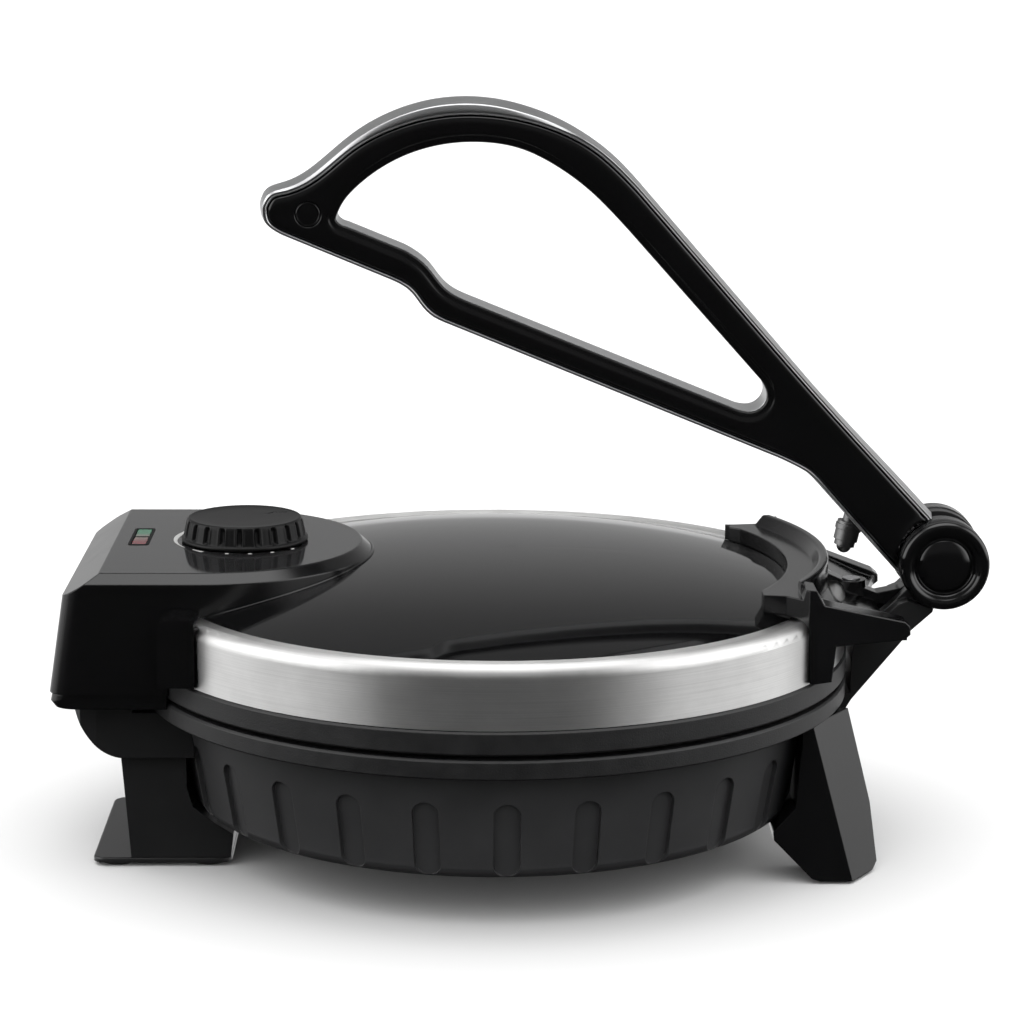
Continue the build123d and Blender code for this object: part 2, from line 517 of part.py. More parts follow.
# knob: flanged, grooved, dished top with a pointer notch
kp = [(3.02, KNOB_Z0), (KNOB_R0, KNOB_Z0), (KNOB_R0, KNOB_Z0 + 0.9), (KNOB_R0 - 0.5, KNOB_Z0 + 1.3),
      (KNOB_R1, KNOB_Z0 + 1.5), (KNOB_TOP_R + 0.5, KNOB_Z1 - 1.0), (KNOB_TOP_R - 0.6, KNOB_Z1),
      (KNOB_TOP_R - 2.2, KNOB_Z1), (KNOB_TOP_R - 4.0, KNOB_Z1 - 0.8), (0, KNOB_Z1 - 0.8), (0, KNOB_Z1 - 2.4), (3.02, KNOB_Z1 - 2.4)]
knob = Pos(KNOB_X, 0, 0) * revolve(Plane.XZ * make_face(Polyline(*kp, close=True)), Axis.Z)
knob = knob - (tube(19.8, 6.4, KNOB_Z0 - 1, KNOB_Z1 - 3.2, KNOB_X))
knob = knob + (disc(3.2, KNOB_Z0 + 1.6, KNOB_Z1 - 2.4, KNOB_X) & box(KNOB_X - 4, KNOB_X + 4, 1.62, 4, 110, 130))
grooves = []
for k in range(KNOB_GROOVES):
    g = Pos(KNOB_X, 0, 0) * (Rot(0, 0, 360 / KNOB_GROOVES * k + KNOB_GROOVE_PHASE) * (Pos(23.6, 0, 125.4) * (Rot(0, -16.0, 0) * Cylinder(1.1, 9.0))))
    grooves.append(g)
knob = knob - grooves
knob = knob - (Pos(KNOB_X, 0, 0) * (Rot(0, 0, 206) * box(13.0, 21.5, -0.7, 0.7, KNOB_Z1 - 1.2, KNOB_Z1 + 1)))
save("control_knob", one(knob))
clip = tube(8.0, 6.45, KNOB_Z0 + 2.0, KNOB_Z0 + 3.6, KNOB_X) - box(KNOB_X - 1.5, KNOB_X + 1.5, 0, 12, 110, 130)
save("knob_spring_clip", one(clip))

# rear bracket of the lid: crescent on the dome, two ears that reach over the
# band, a floor between them and the hinge knuckle
def ring_sector(r0, r1, z0, z1, ylim):
    return (tube(r1, r0, z0, z1)) & box(60, 200, -ylim, ylim, z0 - 1, z1 + 1)


cres = ring_sector(113.0, 127.0, 100.0, 112.2, 62.5) - box(60, 98.6, -80, -50, 90, 120)
rim = lathe([(122.0, 110.0), (122.4, 112.2), (125.2, 116.4), (128.5, 116.6), (128.5, 100.0), (122.0, 100.0)])
rim = rim & prism_xz([(100.0, 99.0), (105.0, 112.2), (107.5, 115.6), (110.5, 117.0), (140.0, 117.0), (140.0, 99.0)], -61.0, 61.0)
rim = soften(rim, [ed for ed in rim.edges() if ed.center().Z > 116.0 and ed.length > 40], 1.3)
near_prof = [(98.6, 112.2), (112.6, 112.2), (113.6, 116.2), (117.0, 116.2), (120.2, 110.4), (152.6, 99.6), (154.6, 97.6),
             (154.9, 94.4), (152.2, 92.8), (125.2, 94.2), (123.6, 81.0), (115.2, 81.0), (114.4, 101.5), (111.0, 104.6),
             (98.6, 105.4)]
far_prof = [(95.5, 112.2), (112.6, 112.2), (113.2, 113.4), (116.0, 113.4), (119.8, 106.0), (152.6, 96.9), (154.8, 95.2),
            (154.9, 92.4), (152.2, 90.8), (125.2, 93.6), (123.6, 81.0), (115.2, 81.0), (114.4, 101.5), (111.0, 104.6),
            (95.5, 104.8)]
plan = [(95.4, -57.0), (96.6, -62.3), (107.0, -64.0), (114.4, -72.4), (117.5, -73.4), (124.0, -70.0), (154.8, -52.0),
        (156.2, -46.5), (152.0, -43.5), (127.0, -57.5), (118.0, -61.0), (113.0, -56.0), (104.0, -50.0)]
ear_n = prism_xz(near_prof, -80, -40) & prism_xy(plan, 70, 130)
ear_f = mirror_y(prism_xz(far_prof, -80, -40) & prism_xy(plan, 70, 130))
floor_pts = [(120.0, 106.4), (127.0, 105.2), (131.0, 102.2), (136.0, 100.2), (147.2, 96.0), (154.0, 94.4), (154.0, 91.6),
             (147.2, 92.4), (136.5, 93.6), (120.0, 97.6)]
floor = prism_xz(floor_pts, -56, 56) & prism_xy([(100, -64), (127, -64), (154.4, -49), (150.5, -34), (147.4, -20), (147.2, 0),
                                                 (147.4, 20), (150.5, 34), (154.4, 49), (127, 64), (100, 64)], 70, 130)
web = prism_xz([(121.0, 108.0), (128.0, 107.4), (136.0, 103.8), (148.0, 99.2), (157.0, 101.0), (162.0, 104.2), (163.0, 118.0), (176.0, 108.0),
                (166.0, 99.0), (150.0, 94.6), (121.0, 98.0)], -4.0, 4.0)
knuckle = rod_y(14.5, -4.0, 4.0)
wall_back = ring_sector(124.0, 128.5, 99.0, 112.0, 61.0)
rim = rim - box(60, 112.4, -90, -30, 112.2, 130)
lb = cres + rim + ear_n + ear_f + floor + web + knuckle + wall_back
lb = lb - lid_solid(0.08)
lb = lb - rod_y(PIN_R + RUN, -20, 20)
# seat for the wear pad
PAD_X, PAD_Z, PAD_R = 138.4, 104.6, 3.6
lb = lb + (disc(5.8, 95.0, 104.0, PAD_X) - lid_solid(0.08))
lb = lb - disc(PAD_R + 0.05, 102.2, 110.0, PAD_X)
save("lid_rear_bracket", one(lb))
pad = disc(PAD_R, 102.2, PAD_Z, PAD_X)
pad = soften(pad, pad.edges().group_by(Axis.Z)[-1], 0.5)
pad = one(pad - lid_solid(0.02))
save("pressure_pad", pad)

# ============================================================ HANDLE
up = [(-89.6, 249.6), (-87.7, 254.6), (-82.5, 257.4), (-77.2, 259.2), (-69.9, 263.6), (-64.1, 268.3), (-53.4, 277.0),
      (-39.0, 284.9), (-24.6, 289.2), (-12.1, 290.4), (-0.6, 289.6), (12.0, 286.6), (23.5, 282.1), (38.0, 273.4),
      (47.8, 265.0), (54.4, 257.9)]
low_tip = [(-80.8, 238.0), (-85.8, 241.0), (-89.0, 245.2), (-89.6, 249.6)]
END_U, END_L = (179.0, 119.4), (161.6, 100.8)
outline = [
    Spline(*up, tangents=[(0.05, 1.0), (0.66, -0.75)], tangent_scalars=[0.5, 0.5]),
    Line(up[-1], (120.2, 182.4)),
    Spline((120.2, 182.4), (140.5, 160.4), (156.2, 144.0), END_U, tangents=[(0.657, -0.753), (0.68, -0.735)], tangent_scalars=[0.5, 0.5]),
    Line(END_U, END_L),
    Line(END_L, (126.0, 140.2)),
    Spline((126.0, 140.2), (120.8, 145.7), (114.4, 149.8), (107.7, 153.0), tangents=[(-0.67, 0.742), (-0.926, 0.377)], tangent_scalars=[0.5, 0.5]),
    Line((107.7, 153.0), (-17.2, 203.9)),
    Spline((-17.2, 203.9), (-23.8, 206.8), (-29.7, 212.7), (-34.4, 218.1), (-41.2, 221.7), tangents=[(-0.926, 0.377), (-0.926, 0.377)], tangent_scalars=[0.5, 0.5]),
    Line((-41.2, 221.7), low_tip[0]),
    Spline(*low_tip, tangents=[(-0.926, 0.377), (0.05, 1.0)], tangent_scalars=[0.5, 0.5]),
]
hole = [
    Spline((-60.3, 245.2), (-58.6, 249.6), (-54.2, 255.4), (-43.6, 263.9), (-29.2, 270.7), (-14.9, 273.6), (-5.4, 273.8), (9.0, 271.4),
           (18.5, 267.2), (31.0, 259.0), (41.7, 249.4), (50.0, 240.6), tangents=[(0.0, 1.0), (0.68, -0.735)], tangent_scalars=[0.5, 0.5]),
    Line((50.0, 240.6), (100.6, 184.0)),
    Spline((100.6, 184.0), (103.2, 178.6), (101.8, 174.0), (97.4, 171.6), (92.0, 172.4), tangents=[(0.66, -0.75), (-0.93, 0.36)], tangent_scalars=[0.5, 0.5]),
    Line((92.0, 172.4), (-10.0, 213.6)),
    Spline((-10.0, 213.6), (-16.0, 216.4), (-21.6, 221.4), (-27.4, 228.4), (-35.4, 233.6), tangents=[(-0.926, 0.377), (-0.926, 0.377)], tangent_scalars=[0.5, 0.5]),
    Line((-35.4, 233.6), (-56.0, 242.0)),
    Spline((-56.0, 242.0), (-59.2, 243.4), (-60.3, 245.2), tangents=[(-0.926, 0.377), (0.0, 1.0)], tangent_scalars=[0.5, 0.5]),
]
inl = [(-86.3, 248.8), (-84.6, 252.2), (-80.6, 253.9), (-70.4, 257.8), (-63.7, 262.6), (-53.1, 271.2), (-38.8, 278.6), (-24.4, 282.8),
       (-12.0, 284.1), (-0.6, 283.6), (13.7, 280.9), (28.0, 275.6), (42.5, 265.9), (53.9, 254.6)]
o = 1.5
inlay_outline = [
    Spline(*inl, tangents=[(0.05, 1.0), (0.66, -0.75)], tangent_scalars=[0.3, 0.3]),
    Spline(inl[-1], (85.0, 219.2), (116.0, 184.0), (146.0, 151.2), (END_U[0] - 2.0, END_U[1] - 1.6), tangents=[(0.66, -0.75), (0.68, -0.733)], tangent_scalars=[0.5, 0.5]),
    Line((END_U[0] - 2.0, END_U[1] - 1.6), (END_L[0] + o * 0.74, END_L[1] + o * 0.67)),
    Line((END_L[0] + o * 0.74, END_L[1] + o * 0.67), (127.4, 141.4)),
    Spline((127.4, 141.4), (122.0, 147.4), (115.4, 151.7), (108.5, 155.0), tangents=[(-0.67, 0.742), (-0.926, 0.377)], tangent_scalars=[0.5, 0.5]),
    Line((108.5, 155.0), (-16.5, 205.9)),
    Spline((-16.5, 205.9), (-22.5, 208.7), (-28.2, 214.2), (-33.0, 219.8), (-40.5, 223.7), tangents=[(-0.926, 0.377), (-0.926, 0.377)], tangent_scalars=[0.5, 0.5]),
    Line((-40.5, 223.7), (-79.6, 239.8)),
    Spline((-79.6, 239.8), (-83.6, 242.0), (-86.0, 245.2), (-86.3, 248.8), tangents=[(-0.926, 0.377), (0.05, 1.0)], tangent_scalars=[0.5, 0.5]),
]
frame_s = extrude(face_xz(Wire(outline), HANDLE_Y), amount=2 * HANDLE_Y)
hole_s = extrude(face_xz(Wire(hole), 20), amount=40)
inlay_n = extrude(face_xz(Wire(inlay_outline), -INLAY_Y), amount=HANDLE_Y + 0.2 - INLAY_Y)      # y from -8.2 to -11.2
edges_out = [ed for ed in frame_s.edges() if abs(abs(ed.center().Y) - HANDLE_Y) < 1e-3]
long_edges = [ed for ed in edges_out if ed.center().X < 168]
frame_s = soften(frame_s, long_edges, 1.2)
pocket = extrude(face_xz(Wire(inlay_outline), -INLAY_Y), amount=10)
frame_s = frame_s - hole_s - pocket - mirror_y(pocket)
clear_barrel = rod_y(BARREL_R + 0.55, -30, 30)
frame_s = frame_s - clear_barrel
near_end = rod_y(30.0, -30, 30)
inlay_full = inlay_n - hole_s
tongue = (inlay_full & near_end) - clear_barrel
inlay_near = inlay_full - rod_y(30.1, -30, 30)
SCREW_X, SCREW_Z = -70.9, 246.9
plug_hole = rod_y(4.6, -14, 14, SCREW_X, SCREW_Z)
inlay_near = one(inlay_near) - plug_hole
rim_edges = [ed for ed in inlay_near.edges() if abs(ed.center().Y + HANDLE_Y + 0.2) < 1e-3
             and (ed.center() - Vector(HINGE_X, ed.center().Y, HINGE_Z)).length > 32
             and (ed.center() - Vector(SCREW_X, ed.center().Y, SCREW_Z)).length > 6]
inlay_near = one(inlay_near)
save("handle_inlay_near", inlay_near)
save("handle_inlay_far", mirror_y(inlay_near))
frame_s = one(frame_s)
# threaded seat for the presser, square to the lower edge
TIP = Vector(134.7, 0, 114.5)
axis_dir = Vector(0.21, 0, 0.978).normalized()
seat_pl = Plane(origin=TIP, x_dir=(0.978, 0, -0.21), z_dir=axis_dir)


def on_axis(r, t0, t1):
    return seat_pl * (Pos(0, 0, (t0 + t1) / 2) * Cylinder(r, t1 - t0))


frame_s = frame_s - on_axis(3.0, 0, 26.0)
save("handle_frame", one(frame_s))

plugs = []
for s in (-1, 1):
    p = rod_y(4.55, s * 9.7 - 1.4, s * 9.7 + 1.4, SCREW_X, SCREW_Z)
    plugs.append(p)
save("handle_screw_plugs", plugs)

# cheeks of the handle: a disc each side of the hinge with a tongue that
# fills the end of the inlay pocket
cd = (rod_y(BARREL_R + 0.4, -CHEEK_Y1, -CHEEK_Y0)
      + (rod_y(19.6, -14.0, -CHEEK_Y0) & extrude(face_xz(Wire(inlay_outline), -10.0), amount=4.0)))
bridge = (inlay_full & near_end) & box(100, 200, -HANDLE_Y - 0.3, -CHEEK_Y0, 90, 160)
cheek_n = cd + tongue + bridge
cheek_n = cheek_n - rod_y(PIN_R + RUN, -30, 30) - rod_y(7.2, -CHEEK_Y1 - 1, -15.7)
cheek_n = one(cheek_n)
# cheek faces stay clear of the frame that they are screwed against
cheek_n = one(cheek_n - (frame_s & box(100, 200, -HANDLE_Y, -CHEEK_Y0, 90, 160)))
save("handle_cheek_near", cheek_n)
save("handle_cheek_far", mirror_y(cheek_n))

# dished caps that close the barrel
cap_pts = [(0, -CHEEK_Y1), (0, -CAP_Y1 + 0.1), (2.5, -CAP_Y1 + 0.18), (5.0, -CAP_Y1 + 0.48), (7.0, -CAP_Y1 + 0.95), (8.6, -CAP_Y1 + 1.5),
           (9.8, -CAP_Y1 + 2.15), (10.6, -CAP_Y1 + 2.3), (11.5, -CAP_Y1 + 1.6), (12.3, -CAP_Y1 + 0.6), (13.2, -CAP_Y1 + 0.12), (14.3, -CAP_Y1),
           (15.5, -CAP_Y1 + 0.25), (16.5, -CAP_Y1 + 0.9), (BARREL_R + 0.4, -CAP_Y1 + 2.0), (BARREL_R + 0.4, -CHEEK_Y1), (8.0, -CHEEK_Y1)]
cap = revolve(make_face(Polyline(*cap_pts, close=True)), Axis.Y)
cap_n = Pos(HINGE_X, 0, HINGE_Z) * cap
spig = rod_y(7.1, -CHEEK_Y1 - 0.01, -17.3) - rod_y(5.6, -CHEEK_Y1 - 1, -17.0)
save("hinge_cap_near", one(cap_n))
save("hinge_cap_far", mirror_y(one(cap_n)))

# presser: threaded stud in the handle, lock sleeve and rounded tip
stud = on_axis(2.95, 4.0, 25.0)
sleeve = on_axis(4.7, 5.2, 12.6) + on_axis(4.0, 3.0, 5.2) - on_axis(2.95, 0, 30)
ring = on_axis(5.1, 9.4, 11.4) - on_axis(2.95, 0, 30)
sleeve = one((sleeve + ring) - frame_s)
save("presser_sleeve", sleeve)
tip = (seat_pl * (Pos(0, 0, 2.9) * Sphere(2.9))) + on_axis(2.9, 2.9, 5.0)
screw = one(tip + on_axis(2.9, 4.0, 25.0))
save("pressure_screw", screw)
print("done")
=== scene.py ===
import json
import math

import bpy
import bmesh
import numpy as np
from mathutils import Matrix, Vector
from mathutils.geometry import delaunay_2d_cdt, tessellate_polygon


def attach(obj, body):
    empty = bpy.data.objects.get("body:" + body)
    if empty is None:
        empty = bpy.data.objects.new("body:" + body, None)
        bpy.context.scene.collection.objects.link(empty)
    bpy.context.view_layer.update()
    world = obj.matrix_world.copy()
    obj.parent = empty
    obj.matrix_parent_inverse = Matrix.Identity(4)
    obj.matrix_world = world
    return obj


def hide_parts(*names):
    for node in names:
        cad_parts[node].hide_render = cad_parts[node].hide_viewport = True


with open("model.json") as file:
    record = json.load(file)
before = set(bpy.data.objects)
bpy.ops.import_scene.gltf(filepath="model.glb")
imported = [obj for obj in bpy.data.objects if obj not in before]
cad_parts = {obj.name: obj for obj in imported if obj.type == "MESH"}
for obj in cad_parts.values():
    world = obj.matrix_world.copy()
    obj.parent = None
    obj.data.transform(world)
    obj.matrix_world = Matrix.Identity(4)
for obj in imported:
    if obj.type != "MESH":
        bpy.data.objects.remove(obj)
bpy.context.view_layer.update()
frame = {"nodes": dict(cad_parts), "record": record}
NODES = frame["nodes"]
SX = -0.01135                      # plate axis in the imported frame


# ------------------------------------------------------------------ camera
cam_data = bpy.data.cameras.new("camera")
cam_data.sensor_width = 36.0
cam_data.sensor_fit = "HORIZONTAL"
cam_data.lens = 111.3975
cam_data.clip_start, cam_data.clip_end = 0.05, 60.0
cam = bpy.data.objects.new("camera", cam_data)
bpy.context.scene.collection.objects.link(cam)
RIGHT = Vector((0.9999083, -0.01309393, 0.00345446))
UP = Vector((-0.00069710, 0.20498565, 0.97876473))
FWD = Vector((0.01352399, 0.97867739, -0.20495772))
cam.matrix_world = Matrix((
    (RIGHT.x, UP.x, -FWD.x, -0.02156107),
    (RIGHT.y, UP.y, -FWD.y, -1.19997346),
    (RIGHT.z, UP.z, -FWD.z, 0.38166405),
    (0, 0, 0, 1)))
scene = bpy.context.scene
scene.camera = cam
scene.view_settings.view_transform = "Standard"
scene.view_settings.look = "None"


# ------------------------------------------------------------------ node helpers
class Tree:
    def __init__(self, tree):
        self.t = tree
        self.x = 0

    def n(self, kind, **props):
        node = self.t.nodes.new(kind)
        self.x += 180
        node.location = (self.x, 0)
        for k, v in props.items():
            setattr(node, k, v)
        return node

    def link(self, a, b):
        self.t.links.new(a, b)

    def math(self, op, a, b=None, c=None, clamp=False):
        m = self.n("ShaderNodeMath", operation=op, use_clamp=clamp)
        for i, v in enumerate((a, b, c)):
            if v is None:
                continue
            if isinstance(v, (int, float)):
                m.inputs[i].default_value = v
            else:
                self.link(v, m.inputs[i])
        return m.outputs[0]

    def smooth(self, v, lo, hi, out0=0.0, out1=1.0):
        m = self.n("ShaderNodeMapRange", interpolation_type="SMOOTHSTEP")
        self.link(v, m.inputs["Value"])
        m.inputs["From Min"].default_value = lo
        m.inputs["From Max"].default_value = hi
        m.inputs["To Min"].default_value = out0
        m.inputs["To Max"].default_value = out1
        return m.outputs["Result"]

    def ramp(self, fac, stops, mode="LINEAR"):
        r = self.n("ShaderNodeValToRGB")
        r.color_ramp.interpolation = mode
        el = r.color_ramp.elements
        while len(el) > 1:
            el.remove(el[-1])
        for i, (p, c) in enumerate(stops):
            e = el[0] if i == 0 else el.new(p)
            e.position = p
            e.color = (*c, 1.0) if isinstance(c, tuple) else (c, c, c, 1.0)
        self.link(fac, r.inputs["Fac"])
        return r.outputs["Color"]

    def noise(self, vec, scale, detail=3.0, rough=0.5, dist=0.0):
        t = self.n("ShaderNodeTexNoise")
        t.inputs["Scale"].default_value = scale
        t.inputs["Detail"].default_value = detail
        t.inputs["Roughness"].default_value = rough
        t.inputs["Distortion"].default_value = dist
        if vec is not None:
            self.link(vec, t.inputs["Vector"])
        return t.outputs["Fac"]

    def coord(self, kind="Object", scale=None):
        c = self.n("ShaderNodeTexCoord").outputs[kind]
        if scale is None:
            return c
        m = self.n("ShaderNodeMapping")
        m.inputs["Scale"].default_value = scale
        self.link(c, m.inputs["Vector"])
        return m.outputs["Vector"]


def new_mat(name):
    m = bpy.data.materials.new(name)
    m.use_nodes = True
    m.node_tree.nodes.clear()
    t = Tree(m.node_tree)
    out = t.n("ShaderNodeOutputMaterial")
    p = t.n("ShaderNodeBsdfPrincipled")
    t.link(p.outputs[0], out.inputs["Surface"])
    return m, t, p


def finish_mat(name, dark, light, rough, metallic=0.0, grain=900.0, bump=0.02,
               bump_scale=1500.0, blotch=60.0, ior=1.5, spec=0.5, rough_var=0.05,
               smudge=0.0, stretch=None, bump_dist=0.0002, coat=0.0, coat_rough=0.05,
               detail=4.0, edge=0.0):
    """A moulded or metal surface: slow colour drift, fine grain, roughness
    that changes with faint smudges, and a shallow relief."""
    m, t, p = new_mat(name)
    vec = t.coord("Object", stretch)
    drift = t.noise(vec, blotch, 3.0, 0.55)
    fine = t.noise(vec, grain, detail, 0.6)
    mixed = t.math("ADD", t.math("MULTIPLY", drift, 0.6), t.math("MULTIPLY", fine, 0.4))
    t.link(t.ramp(mixed, [(0.34, dark), (0.66, light)]), p.inputs["Base Color"])
    r = t.math("MULTIPLY_ADD", mixed, 2.0 * rough_var, rough - rough_var)
    if smudge > 0:
        s = t.noise(vec, 22.0, 5.0, 0.6, 0.6)
        r = t.math("ADD", r, t.smooth(s, 0.52, 0.74, 0.0, smudge))
    t.link(r, p.inputs["Roughness"])
    p.inputs["Metallic"].default_value = metallic
    p.inputs["IOR"].default_value = ior
    p.inputs["Specular IOR Level"].default_value = spec
    if coat > 0:
        p.inputs["Coat Weight"].default_value = coat
        p.inputs["Coat Roughness"].default_value = coat_rough
    bev = None
    if edge > 0:
        bev = t.n("ShaderNodeBevel", samples=6)
        bev.inputs["Radius"].default_value = edge
    if bump > 0:
        b = t.n("ShaderNodeBump")
        b.inputs["Strength"].default_value = bump
        b.inputs["Distance"].default_value = bump_dist
        t.link(t.noise(vec, bump_scale, 2.0, 0.5), b.inputs["Height"])
        if bev is not None:
            t.link(bev.outputs["Normal"], b.inputs["Normal"])
        t.link(b.outputs["Normal"], p.inputs["Normal"])
    elif bev is not None:
        t.link(bev.outputs["Normal"], p.inputs["Normal"])
    return m


MAT = {}
MAT["pan_dark_grey"] = finish_mat("pan_dark_grey", (0.0235, 0.0235, 0.0244), (0.0305, 0.0305, 0.0317), 0.48, rough_var=0.05,
                                  grain=1800, bump=0.10, bump_scale=2600, bump_dist=0.0001, edge=0.0006)
MAT["plate_coated"] = finish_mat("plate_coated", (0.0055, 0.0055, 0.006), (0.0115, 0.0115, 0.012), 0.48, rough_var=0.10,
                                 grain=2200, bump=0.35, bump_scale=1700, bump_dist=0.00025, blotch=140, edge=0.0005)
MAT["element_sheath"] = finish_mat("element_sheath", (0.10, 0.09, 0.08), (0.20, 0.18, 0.16), 0.5, metallic=1.0)
MAT["tinned_steel"] = finish_mat("tinned_steel", (0.42, 0.42, 0.41), (0.58, 0.58, 0.57), 0.3, metallic=1.0, bump=0.05)
MAT["black_satin"] = finish_mat("black_satin", (0.0088, 0.0088, 0.0092), (0.0125, 0.0125, 0.0130), 0.30, rough_var=0.04,
                                grain=1500, bump=0.04, bump_scale=1900, edge=0.0007)
MAT["black_gloss"] = finish_mat("black_gloss", (0.0022, 0.0022, 0.0024), (0.0036, 0.0036, 0.0039), 0.15, rough_var=0.03,
                                grain=1300, bump=0.02, bump_scale=1400, edge=0.0008)
MAT["foot_rubber"] = finish_mat("foot_rubber", (0.008, 0.008, 0.008), (0.015, 0.015, 0.015), 0.7, bump=0.2)
MAT["zinc_steel"] = finish_mat("zinc_steel", (0.45, 0.45, 0.46), (0.62, 0.62, 0.63), 0.28, metallic=1.0, bump=0.05)
MAT["ceramic"] = finish_mat("ceramic", (0.62, 0.58, 0.50), (0.74, 0.71, 0.64), 0.35)
MAT["dome_black"] = finish_mat("dome_black", (0.0018, 0.0018, 0.0019), (0.0026, 0.0026, 0.0028), 0.045, rough_var=0.008,
                               grain=260, bump=0.0, smudge=0.02, detail=2.0)
MAT["housing_black"] = finish_mat("housing_black", (0.0018, 0.0018, 0.0019), (0.0026, 0.0026, 0.0028), 0.16, rough_var=0.02,
                                  grain=700, bump=0.02, bump_scale=1800, smudge=0.02, edge=0.0008)
MAT["housing_plain"] = finish_mat("housing_plain", (0.0018, 0.0018, 0.0019), (0.0026, 0.0026, 0.0028), 0.16, rough_var=0.02,
                                  grain=700, bump=0.02, bump_scale=1800, smudge=0.02)
MAT["bezel_black"] = finish_mat("bezel_black", (0.0030, 0.0030, 0.0032), (0.0046, 0.0046, 0.0048), 0.45, spec=0.08, rough_var=0.03,
                                grain=900, bump=0.02, bump_scale=1700)
MAT["panel_black"] = finish_mat("panel_black", (0.0085, 0.0085, 0.0088), (0.0095, 0.0095, 0.0099), 0.075, rough_var=0.012,
                                grain=240, bump=0.0, smudge=0.02, blotch=40, detail=2.0, edge=0.0004)
MAT["lamp_glass"] = finish_mat("lamp_glass", (0.5, 0.42, 0.3), (0.7, 0.6, 0.45), 0.1)
MAT["brass"] = finish_mat("brass", (0.45, 0.32, 0.12), (0.6, 0.45, 0.2), 0.3, metallic=1.0)
MAT["handle_silver"] = finish_mat("handle_silver", (0.52, 0.523, 0.528), (0.60, 0.603, 0.608), 0.30, metallic=1.0, rough_var=0.05,
                                  grain=2600, bump=0.05, bump_scale=3200)
MAT["inlay_black"] = finish_mat("inlay_black", (0.0016, 0.0016, 0.0017), (0.0022, 0.0022, 0.0024), 0.13, rough_var=0.02,
                                grain=600, bump=0.0, smudge=0.02)
MAT["cap_black"] = finish_mat("cap_black", (0.0018, 0.0018, 0.0019), (0.0026, 0.0026, 0.0028), 0.09, rough_var=0.02,
                              grain=600, bump=0.0, smudge=0.02)
MAT["presser_grey"] = finish_mat("presser_grey", (0.14, 0.14, 0.14), (0.22, 0.22, 0.22), 0.38, metallic=1.0, bump=0.08, edge=0.0003)
MAT["knob_black"] = finish_mat("knob_black", (0.0020, 0.0020, 0.0021), (0.0034, 0.0034, 0.0036), 0.40, spec=0.22, rough_var=0.05,
                               grain=2200, bump=0.08, bump_scale=2600)
MAT["print_white"] = finish_mat("print_white", (0.26, 0.26, 0.255), (0.36, 0.36, 0.35), 0.5, grain=2500, bump=0.0)


def lens_mat(name, front, back, y0, y1):
    """A tinted window: its colour runs from front to back over the lamp behind it."""
    m, t, p = new_mat(name)
    co = t.n("ShaderNodeTexCoord").outputs["Object"]
    sep = t.n("ShaderNodeSeparateXYZ")
    t.link(co, sep.inputs[0])
    speck = t.noise(co, 900.0, 3.0, 0.6)
    y = t.math("ADD", sep.outputs["Y"], t.math("MULTIPLY_ADD", speck, 0.003, -0.0015))
    f = t.smooth(y, y0, y1)
    t.link(t.ramp(f, [(0.0, front), (1.0, back)]), p.inputs["Base Color"])
    t.link(t.math("MULTIPLY_ADD", speck, 0.1, 0.14), p.inputs["Roughness"])
    return m


MAT["lens_green"] = lens_mat("lens_green", (0.075, 0.075, 0.062), (0.014, 0.085, 0.044), 0.0065, 0.0125)
MAT["lens_red"] = lens_mat("lens_red", (0.085, 0.004, 0.008), (0.078, 0.052, 0.045), -0.0055, 0.0035)


def brushed_band():
    m, t, p = new_mat("brushed_stainless")
    co = t.n("ShaderNodeTexCoord").outputs["Object"]
    sep = t.n("ShaderNodeSeparateXYZ")
    t.link(co, sep.inputs[0])
    ang = t.math("ARCTAN2", sep.outputs["Y"], t.math("SUBTRACT", sep.outputs["X"], SX))
    comb = t.n("ShaderNodeCombineXYZ")
    t.link(t.math("MULTIPLY", ang, 1.6), comb.inputs["X"])
    t.link(t.math("MULTIPLY", sep.outputs["Z"], 2600.0), comb.inputs["Y"])
    lines = t.noise(comb.outputs[0], 1.0, 4.0, 0.7)
    comb2 = t.n("ShaderNodeCombineXYZ")
    t.link(t.math("MULTIPLY", ang, 9.0), comb2.inputs["X"])
    t.link(t.math("MULTIPLY", sep.outputs["Z"], 90.0), comb2.inputs["Y"])
    cloud = t.noise(comb2.outputs[0], 1.0, 4.0, 0.6)
    fac = t.math("ADD", t.math("MULTIPLY", lines, 0.65), t.math("MULTIPLY", cloud, 0.35))
    t.link(t.ramp(fac, [(0.35, (0.60, 0.598, 0.592)), (0.65, (0.74, 0.738, 0.732))]), p.inputs["Base Color"])
    t.link(t.math("MULTIPLY_ADD", fac, 0.16, 0.33), p.inputs["Roughness"])
    p.inputs["Metallic"].default_value = 1.0
    tan = t.n("ShaderNodeTangent", direction_type="RADIAL", axis="Z")
    p.inputs["Anisotropic"].default_value = 0.8
    p.inputs["Anisotropic Rotation"].default_value = 0.25
    t.link(tan.outputs[0], p.inputs["Tangent"])
    b = t.n("ShaderNodeBump")
    b.inputs["Strength"].default_value = 0.08
    b.inputs["Distance"].default_value = 0.00005
    t.link(lines, b.inputs["Height"])
    t.link(b.outputs["Normal"], p.inputs["Normal"])
    return m


MAT["brushed_stainless"] = brushed_band()

# carried-over CAD nodes take the finish of their slot, except the housing base cover, which takes housing_black, and
# the lamp bezel, which takes bezel_black
SLOT = {s["node"]: s["material_slot"] for s in frame["record"]["subparts"]}
for name, ob in NODES.items():
    mat = MAT[{"housing_base_cover": "housing_black", "lamp_bezel": "bezel_black"}.get(name, SLOT[name])]
    ob.data.materials.clear()
    ob.data.materials.append(mat)


# ------------------------------------------------------------------ piece helpers
HX, HZ = 172.1, 113.2              # hinge axis, plate frame, millimetres
TAU = 2 * math.pi


def P(x, y, z):
    return ((x - 11.35) * 0.001, y * 0.001, z * 0.001)


